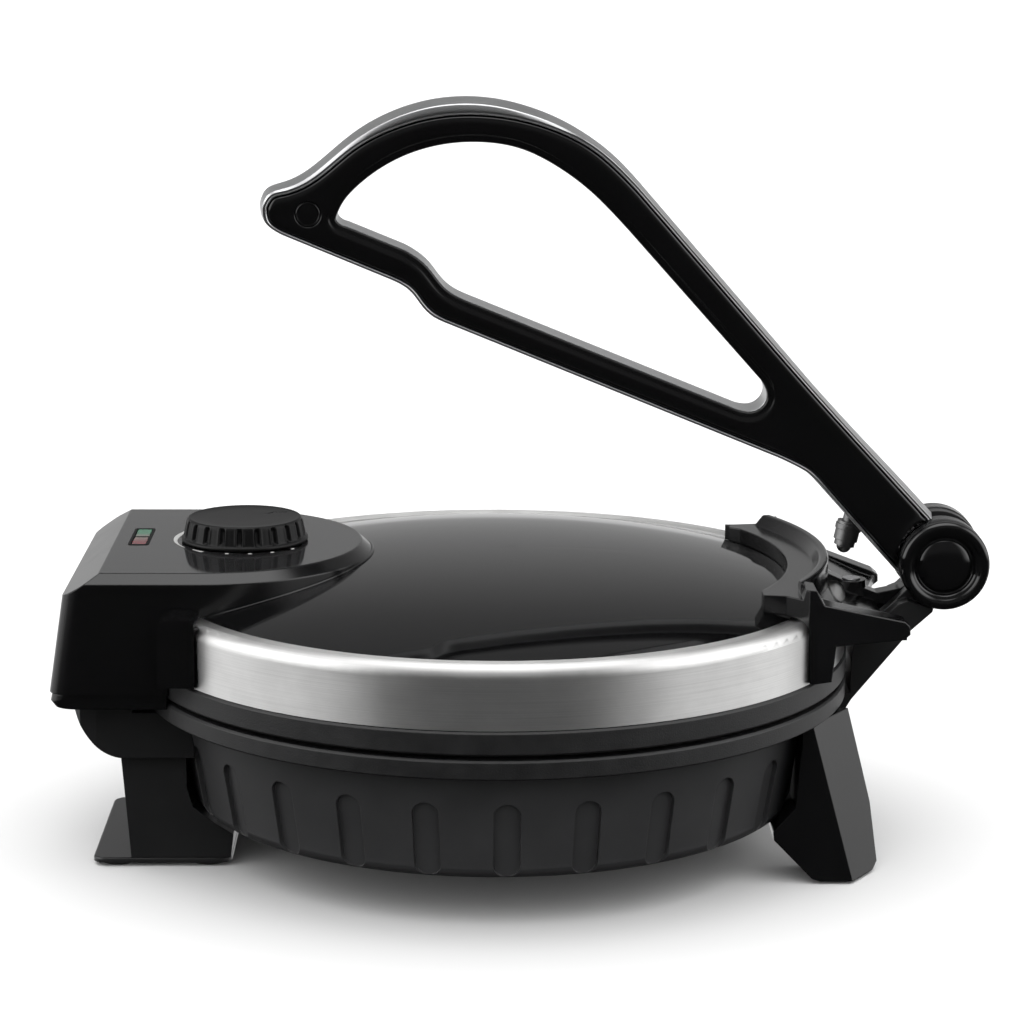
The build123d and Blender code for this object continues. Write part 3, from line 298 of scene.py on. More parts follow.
def piece(name, verts, faces, slot, body, nodes=(), sharp=38.0):
    """One closed mesh in millimetres (plate frame), riding on a body."""
    me = bpy.data.meshes.new(name)
    me.from_pydata([P(*v) for v in verts], [], faces)
    bm = bmesh.new()
    bm.from_mesh(me)
    bmesh.ops.remove_doubles(bm, verts=bm.verts, dist=2e-6)
    bmesh.ops.dissolve_degenerate(bm, edges=bm.edges, dist=1e-6)
    bmesh.ops.recalc_face_normals(bm, faces=bm.faces)
    bm.to_mesh(me)
    bm.free()
    me.shade_smooth()
    me.set_sharp_from_angle(angle=math.radians(sharp))
    ob = bpy.data.objects.new(name, me)
    bpy.context.scene.collection.objects.link(ob)
    me.materials.append(MAT[slot])
    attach(ob, body)
    if nodes:
        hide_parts(*nodes)
    return ob


def cspline(pts, t0, t1, s, step=1.3):
    """Smooth curve through points with set end directions, sampled evenly."""
    p = np.array(pts, float)
    h = np.linalg.norm(np.diff(p, axis=0), axis=1)
    n = len(p)
    A = np.zeros((n, n))
    B = np.zeros((n, 2))
    A[0, 0] = A[-1, -1] = 1
    B[0] = np.array(t0, float) / np.linalg.norm(t0) * s
    B[-1] = np.array(t1, float) / np.linalg.norm(t1) * s
    for i in range(1, n - 1):
        A[i, i - 1], A[i, i], A[i, i + 1] = 1 / h[i - 1], 2 * (1 / h[i - 1] + 1 / h[i]), 1 / h[i]
        B[i] = 3 * ((p[i] - p[i - 1]) / h[i - 1] ** 2 + (p[i + 1] - p[i]) / h[i] ** 2)
    m = np.linalg.solve(A, B)
    out = []
    for i in range(n - 1):
        k = max(2, int(math.ceil(h[i] / step)))
        for j in range(k):
            u = j / k
            out.append((2 * u ** 3 - 3 * u ** 2 + 1) * p[i] + (u ** 3 - 2 * u ** 2 + u) * h[i] * m[i]
                       + (3 * u ** 2 - 2 * u ** 3) * p[i + 1] + (u ** 3 - u ** 2) * h[i] * m[i + 1])
    return out


def run(a, b, step=2.2):
    a, b = np.array(a, float), np.array(b, float)
    k = max(1, int(round(np.linalg.norm(b - a) / step)))
    return [a + (b - a) * j / k for j in range(k)]


def ccw(poly):
    p = np.array(poly)
    x, z = p[:, 0], p[:, 1]
    area = np.sum(x * np.roll(z, -1) - np.roll(x, -1) * z)
    return p if area > 0 else p[::-1]


def clip_end(poly, r):
    """Cut the end of an outline back to a circle about the hinge."""
    c = np.array((HX, HZ))
    p = list(ccw(poly))
    n = len(p)
    inside = [np.linalg.norm(q - c) < r for q in p]
    start = next(i for i in range(n) if inside[i - 1] and not inside[i])
    p = p[start:] + p[:start]
    inside = inside[start:] + inside[:start]
    keep = [q for q, k in zip(p, inside) if not k]
    first_in = p[len(keep)]
    last_in = p[-1]

    def cross(out, inn):
        lo, hi = 0.0, 1.0
        for _ in range(40):
            mid = (lo + hi) / 2
            if np.linalg.norm(out + (inn - out) * mid - c) > r:
                lo = mid
            else:
                hi = mid
        return out + (inn - out) * lo
    a, b = cross(keep[-1], first_in), cross(keep[0], last_in)
    aa, ab = math.atan2(*(a - c)[::-1]), math.atan2(*(b - c)[::-1])
    mid = math.radians(135)
    aa, ab = [mid + ((v - mid + math.pi) % TAU - math.pi) for v in (aa, ab)]
    arc = [c + r * np.array((math.cos(aa + (ab - aa) * k / 16), math.sin(aa + (ab - aa) * k / 16))) for k in range(17)]
    return np.array(keep + arc)


def seg_dist(pts, poly):
    """Distance from points to a closed polyline, and the nearest point on it."""
    a = poly
    b = np.roll(poly, -1, axis=0)
    ab = b - a
    L = np.maximum((ab ** 2).sum(1), 1e-12)
    best = np.full(len(pts), 1e9)
    near = np.zeros((len(pts), 2))
    for i in range(0, len(pts), 400):
        q = pts[i:i + 400]
        t = np.clip(((q[:, None, :] - a[None]) * ab[None]).sum(2) / L[None], 0, 1)
        c = a[None] + ab[None] * t[..., None]
        d = np.linalg.norm(q[:, None, :] - c, axis=2)
        k = d.argmin(1)
        best[i:i + 400] = d[np.arange(len(q)), k]
        near[i:i + 400] = c[np.arange(len(q)), k]
    return best, near


def in_poly(pts, poly):
    x, z = pts[:, 0], pts[:, 1]
    inside = np.zeros(len(pts), bool)
    for a, b in zip(poly, np.roll(poly, -1, axis=0)):
        if abs(b[1] - a[1]) < 1e-12:
            continue
        hit = ((a[1] > z) != (b[1] > z)) & (x < (b[0] - a[0]) * (z - a[1]) / (b[1] - a[1]) + a[0])
        inside ^= hit
    return inside


def normals_in(poly):
    """Inward normals of a counter-clockwise outline."""
    d = np.roll(poly, -1, axis=0) - np.roll(poly, 1, axis=0)
    d /= np.maximum(np.linalg.norm(d, axis=1, keepdims=True), 1e-9)
    return np.stack([-d[:, 1], d[:, 0]], 1)


def lathe_y(prof, n=96):
    """Ring about the hinge axis from (radius, |y|) points, towards -Y."""
    v, f = [], []
    for k in range(n):
        a = TAU * k / n
        for r, y in prof:
            v.append((HX + r * math.cos(a), -y, HZ + r * math.sin(a)))
    m = len(prof)
    for k in range(n):
        for i in range(m - 1):
            a, b = k * m + i, ((k + 1) % n) * m + i
            f.append((a, a + 1, b + 1, b))
        if prof[0][0] > 0.01 and prof[-1][0] > 0.01:
            a, b = k * m + m - 1, ((k + 1) % n) * m + m - 1
            f.append((a, k * m, ((k + 1) % n) * m, b))
    return v, f


def both_sides(v):
    return [(x, -y, z) for x, y, z in v]


# ------------------------------------------------------------------ handle
up = [(-89.6, 249.6), (-87.7, 254.6), (-82.5, 257.4), (-77.2, 259.2), (-69.9, 263.6), (-64.1, 268.3), (-53.4, 277.0),
      (-39.0, 284.9), (-24.6, 289.2), (-12.1, 290.4), (-0.6, 289.6), (12.0, 286.6), (23.5, 282.1), (38.0, 273.4),
      (47.8, 265.0), (54.4, 257.9)]
END_U, END_L = (179.0, 119.4), (161.6, 100.8)
DU = (-0.926, 0.377)
outline = clip_end(
    cspline(up, (0.05, 1.0), (0.66, -0.75), 0.5) + run(up[-1], (120.2, 182.4))
    + cspline([(120.2, 182.4), (140.5, 160.4), (156.2, 144.0), END_U], (0.657, -0.753), (0.68, -0.735), 0.5, 2.0)
    + run(END_U, END_L) + run(END_L, (126.0, 140.2))
    + cspline([(126.0, 140.2), (120.8, 145.7), (114.4, 149.8), (107.7, 153.0)], (-0.67, 0.742), DU, 0.5)
    + run((107.7, 153.0), (-17.2, 203.9))
    + cspline([(-17.2, 203.9), (-23.8, 206.8), (-29.7, 212.7), (-34.4, 218.1), (-41.2, 221.7)], DU, DU, 0.5)
    + run((-41.2, 221.7), (-80.8, 238.0))
    + cspline([(-80.8, 238.0), (-85.8, 241.0), (-89.0, 245.2), (-89.6, 249.6)], DU, (0.05, 1.0), 0.5), 17.45)
hole = ccw(
    cspline([(-60.3, 245.2), (-58.6, 249.6), (-54.2, 255.4), (-43.6, 263.9), (-29.2, 270.7), (-14.9, 273.6), (-5.4, 273.8), (9.0, 271.4),
             (18.5, 267.2), (31.0, 259.0), (41.7, 249.4), (50.0, 240.6)], (0.0, 1.0), (0.68, -0.735), 0.5, 1.1)
    + run((50.0, 240.6), (100.6, 184.0))
    + cspline([(100.6, 184.0), (103.2, 178.6), (101.8, 174.0), (97.4, 171.6), (92.0, 172.4)], (0.66, -0.75), (-0.93, 0.36), 0.5, 0.8)
    + run((92.0, 172.4), (-10.0, 213.6))
    + cspline([(-10.0, 213.6), (-16.0, 216.4), (-21.6, 221.4), (-27.4, 228.4), (-35.4, 233.6)], DU, DU, 0.5)
    + run((-35.4, 233.6), (-56.0, 242.0))
    + cspline([(-56.0, 242.0), (-59.2, 243.4), (-60.3, 245.2)], DU, (0.0, 1.0), 0.5, 0.6))
inl = [(-86.3, 248.8), (-84.6, 252.2), (-80.6, 253.9), (-70.4, 257.8), (-63.7, 262.6), (-53.1, 271.2), (-38.8, 278.6), (-24.4, 282.8),
       (-12.0, 284.1), (-0.6, 283.6), (13.7, 280.9), (28.0, 275.6), (42.5, 265.9), (53.9, 254.6)]
EU, EL = (END_U[0] - 2.0, END_U[1] - 1.6), (END_L[0] + 1.11, END_L[1] + 1.0)
inlay = clip_end(
    cspline(inl, (0.05, 1.0), (0.66, -0.75), 0.3)
    + cspline([inl[-1], (85.0, 219.2), (116.0, 184.0), (146.0, 151.2), EU], (0.66, -0.75), (0.68, -0.733), 0.5, 2.0)
    + run(EU, EL) + run(EL, (127.4, 141.4))
    + cspline([(127.4, 141.4), (122.0, 147.4), (115.4, 151.7), (108.5, 155.0)], (-0.67, 0.742), DU, 0.5)
    + run((108.5, 155.0), (-16.5, 205.9))
    + cspline([(-16.5, 205.9), (-22.5, 208.7), (-28.2, 214.2), (-33.0, 219.8), (-40.5, 223.7)], DU, DU, 0.5)
    + run((-40.5, 223.7), (-79.6, 239.8))
    + cspline([(-79.6, 239.8), (-83.6, 242.0), (-86.0, 245.2), (-86.3, 248.8)], DU, (0.05, 1.0), 0.5), 17.45)

# silver frame: crowned outer face, rounded edge, flat rim with a fine groove
w_all, near_i = seg_dist(outline, inlay)
w_all = np.maximum(w_all, 0.35)
rim = []
for q, c, w in zip(outline, near_i, w_all):
    d = (c - q) / max(np.linalg.norm(c - q), 1e-6)
    w_ = min(w, np.linalg.norm(c - q)) if np.linalg.norm(c - q) > 0.3 else 0.0
    a = min(2.6, 0.5 * w_)
    g = min(1.5, 0.5 * w_)
    half = [(0.0, 0.0), (0.10 * a, 1.5), (0.77 * a, 9.4), (0.81 * a, 9.75), (0.88 * a, 10.05), (a, 10.25),
            (a + 0.5 * (w_ - g - a), 10.6), (w_ - g, 10.82), (w_ - 0.86 * g, 10.78), (w_ - 0.80 * g, 10.45),
            (w_ - 0.52 * g, 10.45), (w_ - 0.45 * g, 10.86), (w_ - 0.28 * g, 10.96), (w_ - 0.1 * g, 10.8), (w_, 10.3), (w_, 8.2)]
    sec = [(o, -y) for o, y in reversed(half)] + [(o, y) for o, y in half[1:]]
    rim.append([(q[0] + d[0] * o, y, q[1] + d[1] * o) for o, y in sec])
m = len(rim[0])
fv = [v for row in rim for v in row]
ff = []
n = len(rim)
for k in range(n):
    for i in range(m - 1):
        ff.append((k * m + i, k * m + i + 1, ((k + 1) % n) * m + i + 1, ((k + 1) % n) * m + i))
hb = len(fv)
nh = len(hole)
hp = [-8.2, -7.9, 0.0, 7.9, 8.2]
hn = normals_in(hole)
for k in range(nh):
    for y in hp:
        o = 0.25 if abs(y) > 8.0 else 0.0
        fv.append((hole[k][0] - hn[k][0] * o, y, hole[k][1] - hn[k][1] * o))
for k in range(nh):
    for i in range(4):
        ff.append((hb + k * 5 + i, hb + k * 5 + i + 1, hb + ((k + 1) % nh) * 5 + i + 1, hb + ((k + 1) % nh) * 5 + i))
for side in (0, 1):
    ring_ids = [k * m + (0 if side == 0 else m - 1) for k in range(n)]
    hole_ids = [hb + k * 5 + (0 if side == 0 else 4) for k in range(nh)]
    ids = ring_ids + hole_ids
    tris = tessellate_polygon([[Vector((fv[i][0], fv[i][2], 0)) for i in ring_ids],
                               [Vector((fv[i][0], fv[i][2], 0)) for i in hole_ids]])
    ff += [tuple(ids[j] for j in t) for t in tris]
piece("handle_shell_silver", fv, ff, "handle_silver", "handle", ("handle_frame",), sharp=32)

# black sides: rounded at the frame, a rabbet round the hole, swept up at the hinge
SX_, SZ_ = -70.9, 246.9
plug_loop = np.array([(SX_ + 4.75 * math.cos(TAU * k / 40), SZ_ + 4.75 * math.sin(TAU * k / 40)) for k in range(40)])
inset = inlay + normals_in(inlay) * 0.14
hole_w = hole - normals_in(hole) * 0.12
loops = [inset, hole_w, plug_loop]


def step_to(x, table):
    xs, ys = zip(*table)
    return np.interp(x, xs, ys)


def side_height(q):
    d1, _ = seg_dist(q, inset)
    d2, _ = seg_dist(q, hole_w)
    d3 = np.abs(np.linalg.norm(q - np.array((SX_, SZ_)), axis=1) - 4.75)
    r = np.linalg.norm(q - np.array((HX, HZ)), axis=1) - 17.3
    h1 = step_to(d1, [(0, 9.9), (0.15, 10.35), (0.4, 10.75), (0.8, 11.08), (1.4, 11.3), (2.4, 11.45), (3.6, 11.5)])
    h2 = step_to(d2, [(0, 9.9), (0.12, 10.3), (0.4, 10.6), (0.9, 10.72), (1.9, 10.76), (2.3, 10.86), (2.7, 11.06), (3.1, 11.28),
                      (3.6, 11.42), (4.4, 11.5)])
    h3 = step_to(d3, [(0, 10.9), (0.12, 11.15), (0.35, 11.45), (0.8, 11.5)])
    h = np.minimum(np.minimum(h1, h2), h3)
    rr = np.clip(r, 0, 4.5)
    near_hinge = 3.6 * (1 - np.sqrt(np.clip(1 - ((4.5 - rr) / 4.5) ** 2, 0, 1)))
    near_edge = np.clip(d1 / 1.2, 0, 1)
    return np.where(r < 1.2, np.maximum(h, 11.4 * near_edge + 9.9 * (1 - near_edge)), h) + near_hinge * np.maximum(near_edge, (r < 0.6) * 1.0)


cloud = []
for loop, dirn, ds in ((inset, 1, (0.15, 0.4, 0.8, 1.4, 2.4, 3.6)), (hole_w, -1, (0.12, 0.4, 0.9, 1.9, 2.3, 2.7, 3.1, 3.6, 4.4)),
                       (plug_loop, -1, (0.12, 0.35, 0.8))):
    nn = normals_in(loop) * dirn
    for d in ds:
        q = loop + nn * d
        ok = in_poly(q, inset) & ~in_poly(q, hole_w) & ~in_poly(q, plug_loop)
        for other in loops:
            dd, _ = seg_dist(q, other)
            ok &= dd > (d - 0.04 if other is loop else 0.25)
        cloud.append(q[ok])
gx, gz = np.meshgrid(np.arange(-90, 175, 1.9), np.arange(100, 292, 1.9))
g = np.stack([gx.ravel() + (np.arange(gx.size) // gx.shape[1] % 2) * 0.95, gz.ravel()], 1)
ok = in_poly(g, inset) & ~in_poly(g, hole_w) & ~in_poly(g, plug_loop)
g = g[ok]
d1, _ = seg_dist(g, inset)
d2, _ = seg_dist(g, hole_w)
d3, _ = seg_dist(g, plug_loop)
cloud.append(g[(d1 > 4.0) & (d2 > 4.9) & (d3 > 1.2)])
a = np.linspace(math.radians(95), math.radians(175), 42)
for rr in (17.9, 18.5, 19.3, 20.4):
    q = np.stack([HX + rr * np.cos(a), HZ + rr * np.sin(a)], 1)
    d1, _ = seg_dist(q, inset)
    ok = in_poly(q, inset) & (d1 > 0.3)
    cloud.append(q[ok])
pts, edges = [], []
for loop in loops:
    b0 = len(pts)
    pts += [Vector(q) for q in loop]
    edges += [(b0 + k, b0 + (k + 1) % len(loop)) for k in range(len(loop))]
pts += [Vector(q) for c in cloud for q in c]
ov, oe, of_, _a, _b, _c = delaunay_2d_cdt(pts, edges, [], 0, 1e-5)
ov = np.array([tuple(v) for v in ov])
tri = np.array([t for t in of_ if len(t) == 3])
cen = ov[tri].mean(1)
good = in_poly(cen, inset) & ~in_poly(cen, hole_w) & ~in_poly(cen, plug_loop)
ar = np.abs(np.cross(ov[tri[:, 1]] - ov[tri[:, 0]], ov[tri[:, 2]] - ov[tri[:, 0]]))
tri = tri[good & (ar > 1e-6)]
hh = side_height(ov)
used = {}
for t in tri:
    for i in range(3):
        e = (int(t[i]), int(t[(i + 1) % 3]))
        k = (min(e), max(e))
        used[k] = used.get(k, 0) + 1
rimmed = [k for k, c in used.items() if c == 1]
N = len(ov)
sv = [(q[0], -h, q[1]) for q, h in zip(ov, hh)] + [(q[0], -8.3, q[1]) for q in ov]
sf = [tuple(int(i) for i in t) for t in tri] + [tuple(int(i) + N for i in t[::-1]) for t in tri]
sf += [(a_, b_, b_ + N, a_ + N) for a_, b_ in rimmed]
piece("handle_side_near", sv, sf, "inlay_black", "handle", ("handle_inlay_near",), sharp=60)
piece("handle_side_far", both_sides(sv), sf, "inlay_black", "handle", ("handle_inlay_far",), sharp=60)

# screw plugs: shallow domed buttons with a fine ring
pv, pf = [], []
prof = [(0, 11.42), (1.6, 11.40), (3.0, 11.30), (3.5, 11.24), (3.62, 11.08), (3.9, 11.08), (4.02, 11.34), (4.3, 11.46), (4.5, 11.34),
        (4.56, 11.0), (4.56, 8.6), (0, 8.6)]
K = 56
for k in range(K):
    for r, y in prof:
        pv.append((SX_ + r * math.cos(TAU * k / K), -y, SZ_ + r * math.sin(TAU * k / K)))
for k in range(K):
    for i in range(len(prof) - 1):
        a_, b_ = k * len(prof) + i, ((k + 1) % K) * len(prof) + i
        pf.append((a_, a_ + 1, b_ + 1, b_))
nb = len(pv)
piece("handle_plugs", pv + both_sides(pv), pf + [tuple(i + nb for i in q) for q in pf], "inlay_black", "handle", ("handle_screw_plugs",))

# hinge bosses and their caps
boss = [(4.2, 10.7), (16.9, 10.7), (17.2, 11.0), (17.2, 17.1), (17.05, 17.4), (16.7, 17.5), (4.2, 17.5)]
bv, bf = lathe_y(boss, 120)
piece("hinge_boss_near", bv, bf, "black_gloss", "handle", ("handle_cheek_near",))
piece("hinge_boss_far", both_sides(bv), bf, "black_gloss", "handle", ("handle_cheek_far",))
capp = [(0, 20.5), (2.0, 20.47), (4.0, 20.33), (6.0, 20.05), (7.6, 19.68), (8.9, 19.2), (9.7, 18.75), (10.15, 18.35), (10.4, 18.0),
        (10.75, 17.9), (11.1, 18.05), (11.4, 18.5), (11.8, 19.0), (12.4, 19.4), (12.8, 19.5), (13.1, 19.72), (13.6, 20.2), (14.3, 20.48),
        (15.1, 20.55), (15.9, 20.4), (16.5, 20.0), (16.95, 19.3), (17.15, 18.5), (17.2, 17.9), (17.0, 17.62), (17.0, 17.52), (0, 17.52)]
cv, cf = lathe_y(capp, 120)
piece("hinge_disc_near", cv, cf, "cap_black", "handle", ("hinge_cap_near",))
piece("hinge_disc_far", both_sides(cv), cf, "cap_black", "handle", ("hinge_cap_far",))

# ------------------------------------------------------------------ knob
KX = -97.0
KNOBP = [(0, 128.05), (6, 128.06), (11, 128.12)] + [(r, 128.2 + 0.35 * ((r - 14) / 6.3) ** 2) for r in np.arange(14.0, 20.31, 0.35)]
KNOBP += [(20.7, 128.68), (21.15, 128.72), (21.55, 128.6), (21.85, 128.3), (22.05, 127.9), (22.2, 127.4), (22.32, 126.8), (22.48, 126.0),
          (22.64, 125.2), (22.8, 124.4), (22.96, 123.6), (23.1, 122.9), (23.2, 122.4), (23.3, 121.9), (23.42, 121.5), (23.7, 121.25),
          (24.1, 121.15), (24.35, 120.9), (24.4, 120.5), (24.35, 120.1), (24.1, 119.9), (0, 119.9)]
KN = 528
kv, kf = [], []
GA = math.radians(-125.5)
PER = TAU / 21
for k in range(KN):
    th = TAU * k / KN
    ph = ((th - GA + PER / 2) % PER) - PER / 2
    s_ = abs(ph) * 23.2                       # millimetres from the flute's middle
    cut = 1.0 - min(max((s_ - 0.45) / 0.85, 0.0), 1.0)
    cut = cut * cut * (3 - 2 * cut)
    for r, z in KNOBP:
        wz = min(max((z - 121.5) / 0.5, 0), 1) * min(max((128.15 - z) / 1.1, 0), 1) if r > 21.6 else 0.0
        rr = r + (0.26 * math.exp(-((s_ - 1.55) / 0.38) ** 2) - 1.25 * cut) * wz
        x, y = rr * math.cos(th), rr * math.sin(th)
        # pointer notch near the rim
        u = (x - 12.9) * math.cos(-0.12) + (y - 9.3) * math.sin(-0.12)
        v = -(x - 12.9) * math.sin(-0.12) + (y - 9.3) * math.cos(-0.12)
        if z > 128.1 and abs(u) < 3.0 and abs(v) < 0.75:
            z = z - 0.6 * min((3.0 - abs(u)) / 0.5, 1.0) * min((0.75 - abs(v)) / 0.3, 1.0)
        kv.append((KX + x, y, z))
M = len(KNOBP)
for k in range(KN):
    for i in range(M - 1):
        a_, b_ = k * M + i, ((k + 1) % KN) * M + i
        kf.append((a_, a_ + 1, b_ + 1, b_))
piece("dial_knob", kv, kf, "knob_black", "knob", ("control_knob",), sharp=55)

# ------------------------------------------------------------------ sealing lip where the housing sits on the dome
def tube_along(path, r, n=10):
    v, f = [], []
    for i, c in enumerate(path):
        a_, b_ = path[max(i - 1, 0)], path[min(i + 1, len(path) - 1)]
        d = (Vector(b_) - Vector(a_)).normalized()
        u = d.cross(Vector((0, 0, 1))).normalized()
        w_ = u.cross(d)
        taper = min(1.0, 0.35 + min(i, len(path) - 1 - i) / 4)
        for k in range(n):
            q = Vector(c) + (u * math.cos(TAU * k / n) + w_ * math.sin(TAU * k / n)) * r * taper
            v.append(tuple(q))
    for i in range(len(path) - 1):
        for k in range(n):
            f.append((i * n + k, i * n + (k + 1) % n, (i + 1) * n + (k + 1) % n, (i + 1) * n + k))
    f.append(tuple(range(n))[::-1])
    f.append(tuple((len(path) - 1) * n + k for k in range(n)))
    return v, f


def dome_height(r):
    return 116.8 - 6.0e-4 * r ** 2 - 1.9e-8 * r ** 4


plan = [(-118.0 + 8.2 * k / 8, -62.25) for k in range(8)]
plan += [(-109.8 + 62.25 * math.cos(math.radians(b_)), 62.25 * math.sin(math.radians(b_))) for b_ in np.linspace(-90, 90, 73)]
plan += [(-109.8 - 8.2 * k / 8, 62.25) for k in range(1, 9)]
lip = []
for x, y in plan:
    r = math.hypot(x, y)
    if r < 125.0:
        lip.append((x, y, dome_height(r) + 0.25))
tv, tf = tube_along(lip, 0.55)
piece("housing_lip", tv, tf, "housing_black", "lid")

# cheek faces: flat walls of the housing that close on the ends of the band
CHEEK = ([(-123.2, 81.3), (-111.4, 81.3), (-110.6, 82.1)] + [(-110.2, z) for z in np.linspace(84.0, 103.2, 9)]
         + [(-110.3, 104.6), (-110.8, 105.6), (-112.0, 106.3), (-114.4, 106.7), (-117.6, 106.9), (-121.0, 106.6), (-123.2, 105.4),
            (-124.0, 103.4), (-124.0, 83.0)])
for side_name, sg in (("near", -1), ("far", 1)):
    rings = []
    mid = np.mean(np.array(CHEEK), 0)
    for inset, y in ((0.0, 62.6), (0.0, 80.5), (1.2, 80.56), (3.0, 80.6)):
        row = []
        for x, z in CHEEK:
            d = mid - np.array((x, z))
            q = np.array((x, z)) + d / np.linalg.norm(d) * inset
            row.append((float(q[0]), sg * y, float(q[1])))
        rings.append(row)
    n_ = len(CHEEK)
    cvv = [v for row in rings for v in row]
    cff = [(r_ * n_ + k, r_ * n_ + (k + 1) % n_, (r_ + 1) * n_ + (k + 1) % n_, (r_ + 1) * n_ + k)
           for r_ in range(len(rings) - 1) for k in range(n_)]
    cff += [tuple(range(n_))[::-1], tuple((len(rings) - 1) * n_ + k for k in range(n_))]
    piece("housing_cheek_" + side_name, cvv, cff, "housing_plain", "lid")

# ------------------------------------------------------------------ panel marks
def lozenge(cx, cy, rx, ry, ang, z0=119.27, z1=119.42, n=20):
    v, f = [], []
    for s_, z in ((1.0, z0), (1.0, z1 - 0.05), (0.86, z1)):
        for k in range(n):
            a_ = TAU * k / n
            x, y = rx * s_ * math.cos(a_), ry * s_ * math.sin(a_)
            v.append((cx + x * math.cos(ang) - y * math.sin(ang), cy + x * math.sin(ang) + y * math.cos(ang), z))
    for i in range(2):
        for k in range(n):
            f.append((i * n + k, i * n + (k + 1) % n, (i + 1) * n + (k + 1) % n, (i + 1) * n + k))
    f.append(tuple(range(n))[::-1])
    f.append(tuple(range(2 * n, 3 * n)))
    return v, f


def merged(parts):
    v, f = [], []
    for pv_, pf_ in parts:
        o = len(v)
        v += pv_
        f += [tuple(i + o for i in q) for q in pf_]
    return v, f


def arc_band(cx, cy, r0, r1, a0, a1, z0=119.27, z1=119.4, n=28):
    """A curved wedge that widens along its run."""
    v, f = [], []
    for k in range(n + 1):
        t_ = k / n
        a_ = math.radians(a0 + (a1 - a0) * t_)
        wd = 0.25 + (r1 - r0) * t_
        for r in (r0, r0 + wd):
            for z in (z0, z1):
                v.append((cx + r * math.cos(a_), cy + r * math.sin(a_), z))
    for k in range(n):
        a_, b_ = k * 4, (k + 1) * 4
        f += [(a_ + 1, a_ + 3, b_ + 3, b_ + 1), (a_, b_, b_ + 2, a_ + 2), (a_, a_ + 1, b_ + 1, b_), (a_ + 2, b_ + 2, b_ + 3, a_ + 3)]
    f += [(0, 2, 3, 1), (n * 4, n * 4 + 1, n * 4 + 3, n * 4 + 2)]
    return v, f


DOTS = [(KX + 25.3 * math.cos(math.radians(a_)), 25.3 * math.sin(math.radians(a_)), math.radians(a_))
        for a_ in (-101.8, -81.8, -62.0, -40.2)]
marks = [lozenge(x, y, 0.65, 0.8, a_) for x, y, a_ in DOTS] + [arc_band(KX, 0, 26.0, 28.8, 212.0, 145.0),
                                                              arc_band(KX, 0, 25.5, 26.6, 223.0, 236.0)]
mv, mf = merged(marks)
piece("dial_marks", mv, mf, "print_white", "lid")


# ------------------------------------------------------------------ floor and light
fm = bpy.data.meshes.new("floor")
fm.from_pydata([(-8, -8, 0), (8, -8, 0), (8, 8, 0), (-8, 8, 0)], [], [(0, 1, 2, 3)])
floor = bpy.data.objects.new("floor", fm)
bpy.context.scene.collection.objects.link(floor)
m = bpy.data.materials.new("pale_floor")
m.use_nodes = True
bs = m.node_tree.nodes["Principled BSDF"]
bs.inputs["Base Color"].default_value = (0.55, 0.55, 0.55, 1)
bs.inputs["Roughness"].default_value = 0.9
bs.inputs["Specular IOR Level"].default_value = 0.0
fm.materials.append(m)
floor.visible_glossy = False
floor.visible_diffuse = False

SIDE_L, TOP_L, FILL_L, LOW_L = 3.2, 3.3, 0.045, 0.9
world = bpy.data.worlds.new("studio")
scene.world = world
world.use_nodes = True
wt = Tree(world.node_tree)
world.node_tree.nodes.clear()
world.cycles.sampling_method = "NONE"
wout = wt.n("ShaderNodeOutputWorld")
lp = wt.n("ShaderNodeLightPath")
gen = wt.n("ShaderNodeTexCoord").outputs["Generated"]
sepw = wt.n("ShaderNodeSeparateXYZ")
wt.link(gen, sepw.inputs[0])
dx, dy, dz = sepw.outputs["X"], sepw.outputs["Y"], sepw.outputs["Z"]
az = wt.math("ABSOLUTE", wt.math("ARCTAN2", dx, wt.math("MULTIPLY", dy, -1.0)))   # 0 towards the viewer's side, pi behind
back = wt.smooth(az, 1.95, 2.35, 0.0, 1.0)
side = wt.math("MULTIPLY", wt.smooth(az, 0.55, 1.15, 0.0, 1.0), wt.smooth(az, 1.75, 2.2, 1.0, 0.0))
el = wt.math("ARCSINE", dz)
# behind: a wall of light that falls off upwards
back_l = wt.math("MULTIPLY", wt.smooth(el, -0.02, 0.03), wt.smooth(el, 0.0, 0.62, 0.54, 0.28))
# at the sides: tall soft boxes that stand on the table's level
side_v = wt.math("MULTIPLY", wt.smooth(el, -0.12, 0.08, 0.0, 1.0), wt.smooth(el, 0.65, 1.15, 1.0, 0.0))
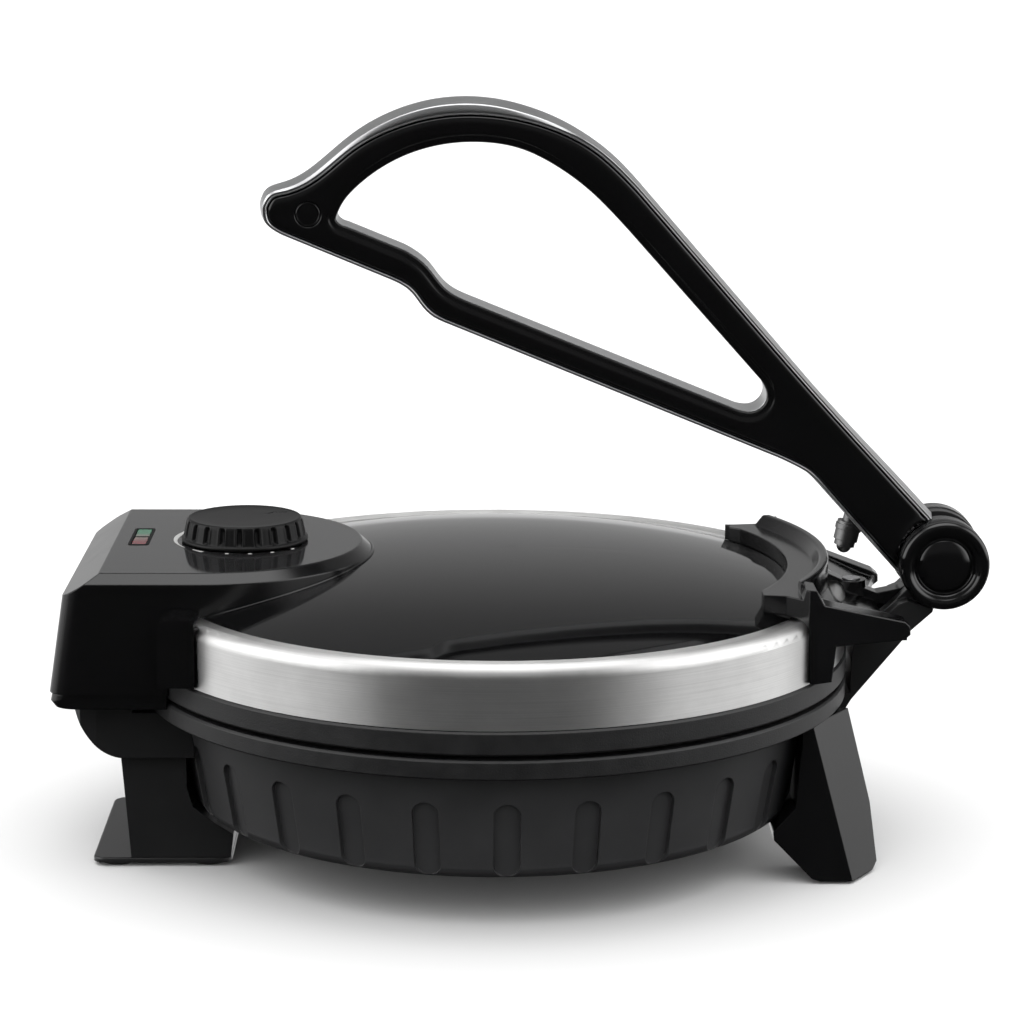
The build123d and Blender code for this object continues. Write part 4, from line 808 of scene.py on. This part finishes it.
# above: one big soft box
top = wt.smooth(el, 0.95, 1.20, 0.0, 1.0)
fill = wt.math("MULTIPLY_ADD", wt.math("MULTIPLY", wt.smooth(el, 0.02, 0.25, 0.0, 1.0), wt.smooth(az, 1.2, 1.9, 1.0, 0.0)), 0.155, FILL_L)
low = wt.math("MULTIPLY", wt.smooth(az, 1.3, 1.8, 0.0, 1.0),
              wt.math("MULTIPLY", wt.smooth(el, -0.65, -0.25, 0.0, 1.0), wt.smooth(el, -0.03, 0.03, 1.0, 0.0)))
glossy = wt.math("ADD", wt.math("MULTIPLY_ADD", low, LOW_L, wt.math("MULTIPLY", back, back_l)),
                 wt.math("ADD", wt.math("MULTIPLY", wt.math("MULTIPLY", side, side_v), SIDE_L),
                         wt.math("MULTIPLY_ADD", top, TOP_L, fill)))
up = wt.smooth(el, 0.0, 1.3, 0.0, 1.0)
front_d = wt.smooth(az, 0.6, 2.2, 1.0, 0.0)
diffuse = wt.math("ADD", wt.smooth(el, -0.05, 0.05, 0.15, 0.6),
                  wt.math("ADD", wt.math("MULTIPLY", up, 2.7),
                          wt.math("MULTIPLY", wt.math("MULTIPLY", front_d, wt.smooth(el, -0.05, 0.2, 0.0, 1.0)), 1.5)))
bg_cam = wt.n("ShaderNodeBackground")
bg_cam.inputs["Color"].default_value = (1, 1, 1, 1)
bg_cam.inputs["Strength"].default_value = 1.0
bg_gl = wt.n("ShaderNodeBackground")
wt.link(glossy, bg_gl.inputs["Strength"])
bg_df = wt.n("ShaderNodeBackground")
wt.link(diffuse, bg_df.inputs["Strength"])
mix1 = wt.n("ShaderNodeMixShader")
wt.link(lp.outputs["Is Glossy Ray"], mix1.inputs["Fac"])
wt.link(bg_df.outputs[0], mix1.inputs[1])
wt.link(bg_gl.outputs[0], mix1.inputs[2])
mix2 = wt.n("ShaderNodeMixShader")
wt.link(lp.outputs["Is Camera Ray"], mix2.inputs["Fac"])
wt.link(mix1.outputs[0], mix2.inputs[1])
wt.link(bg_cam.outputs[0], mix2.inputs[2])
wt.link(mix2.outputs[0], wout.inputs["Surface"])
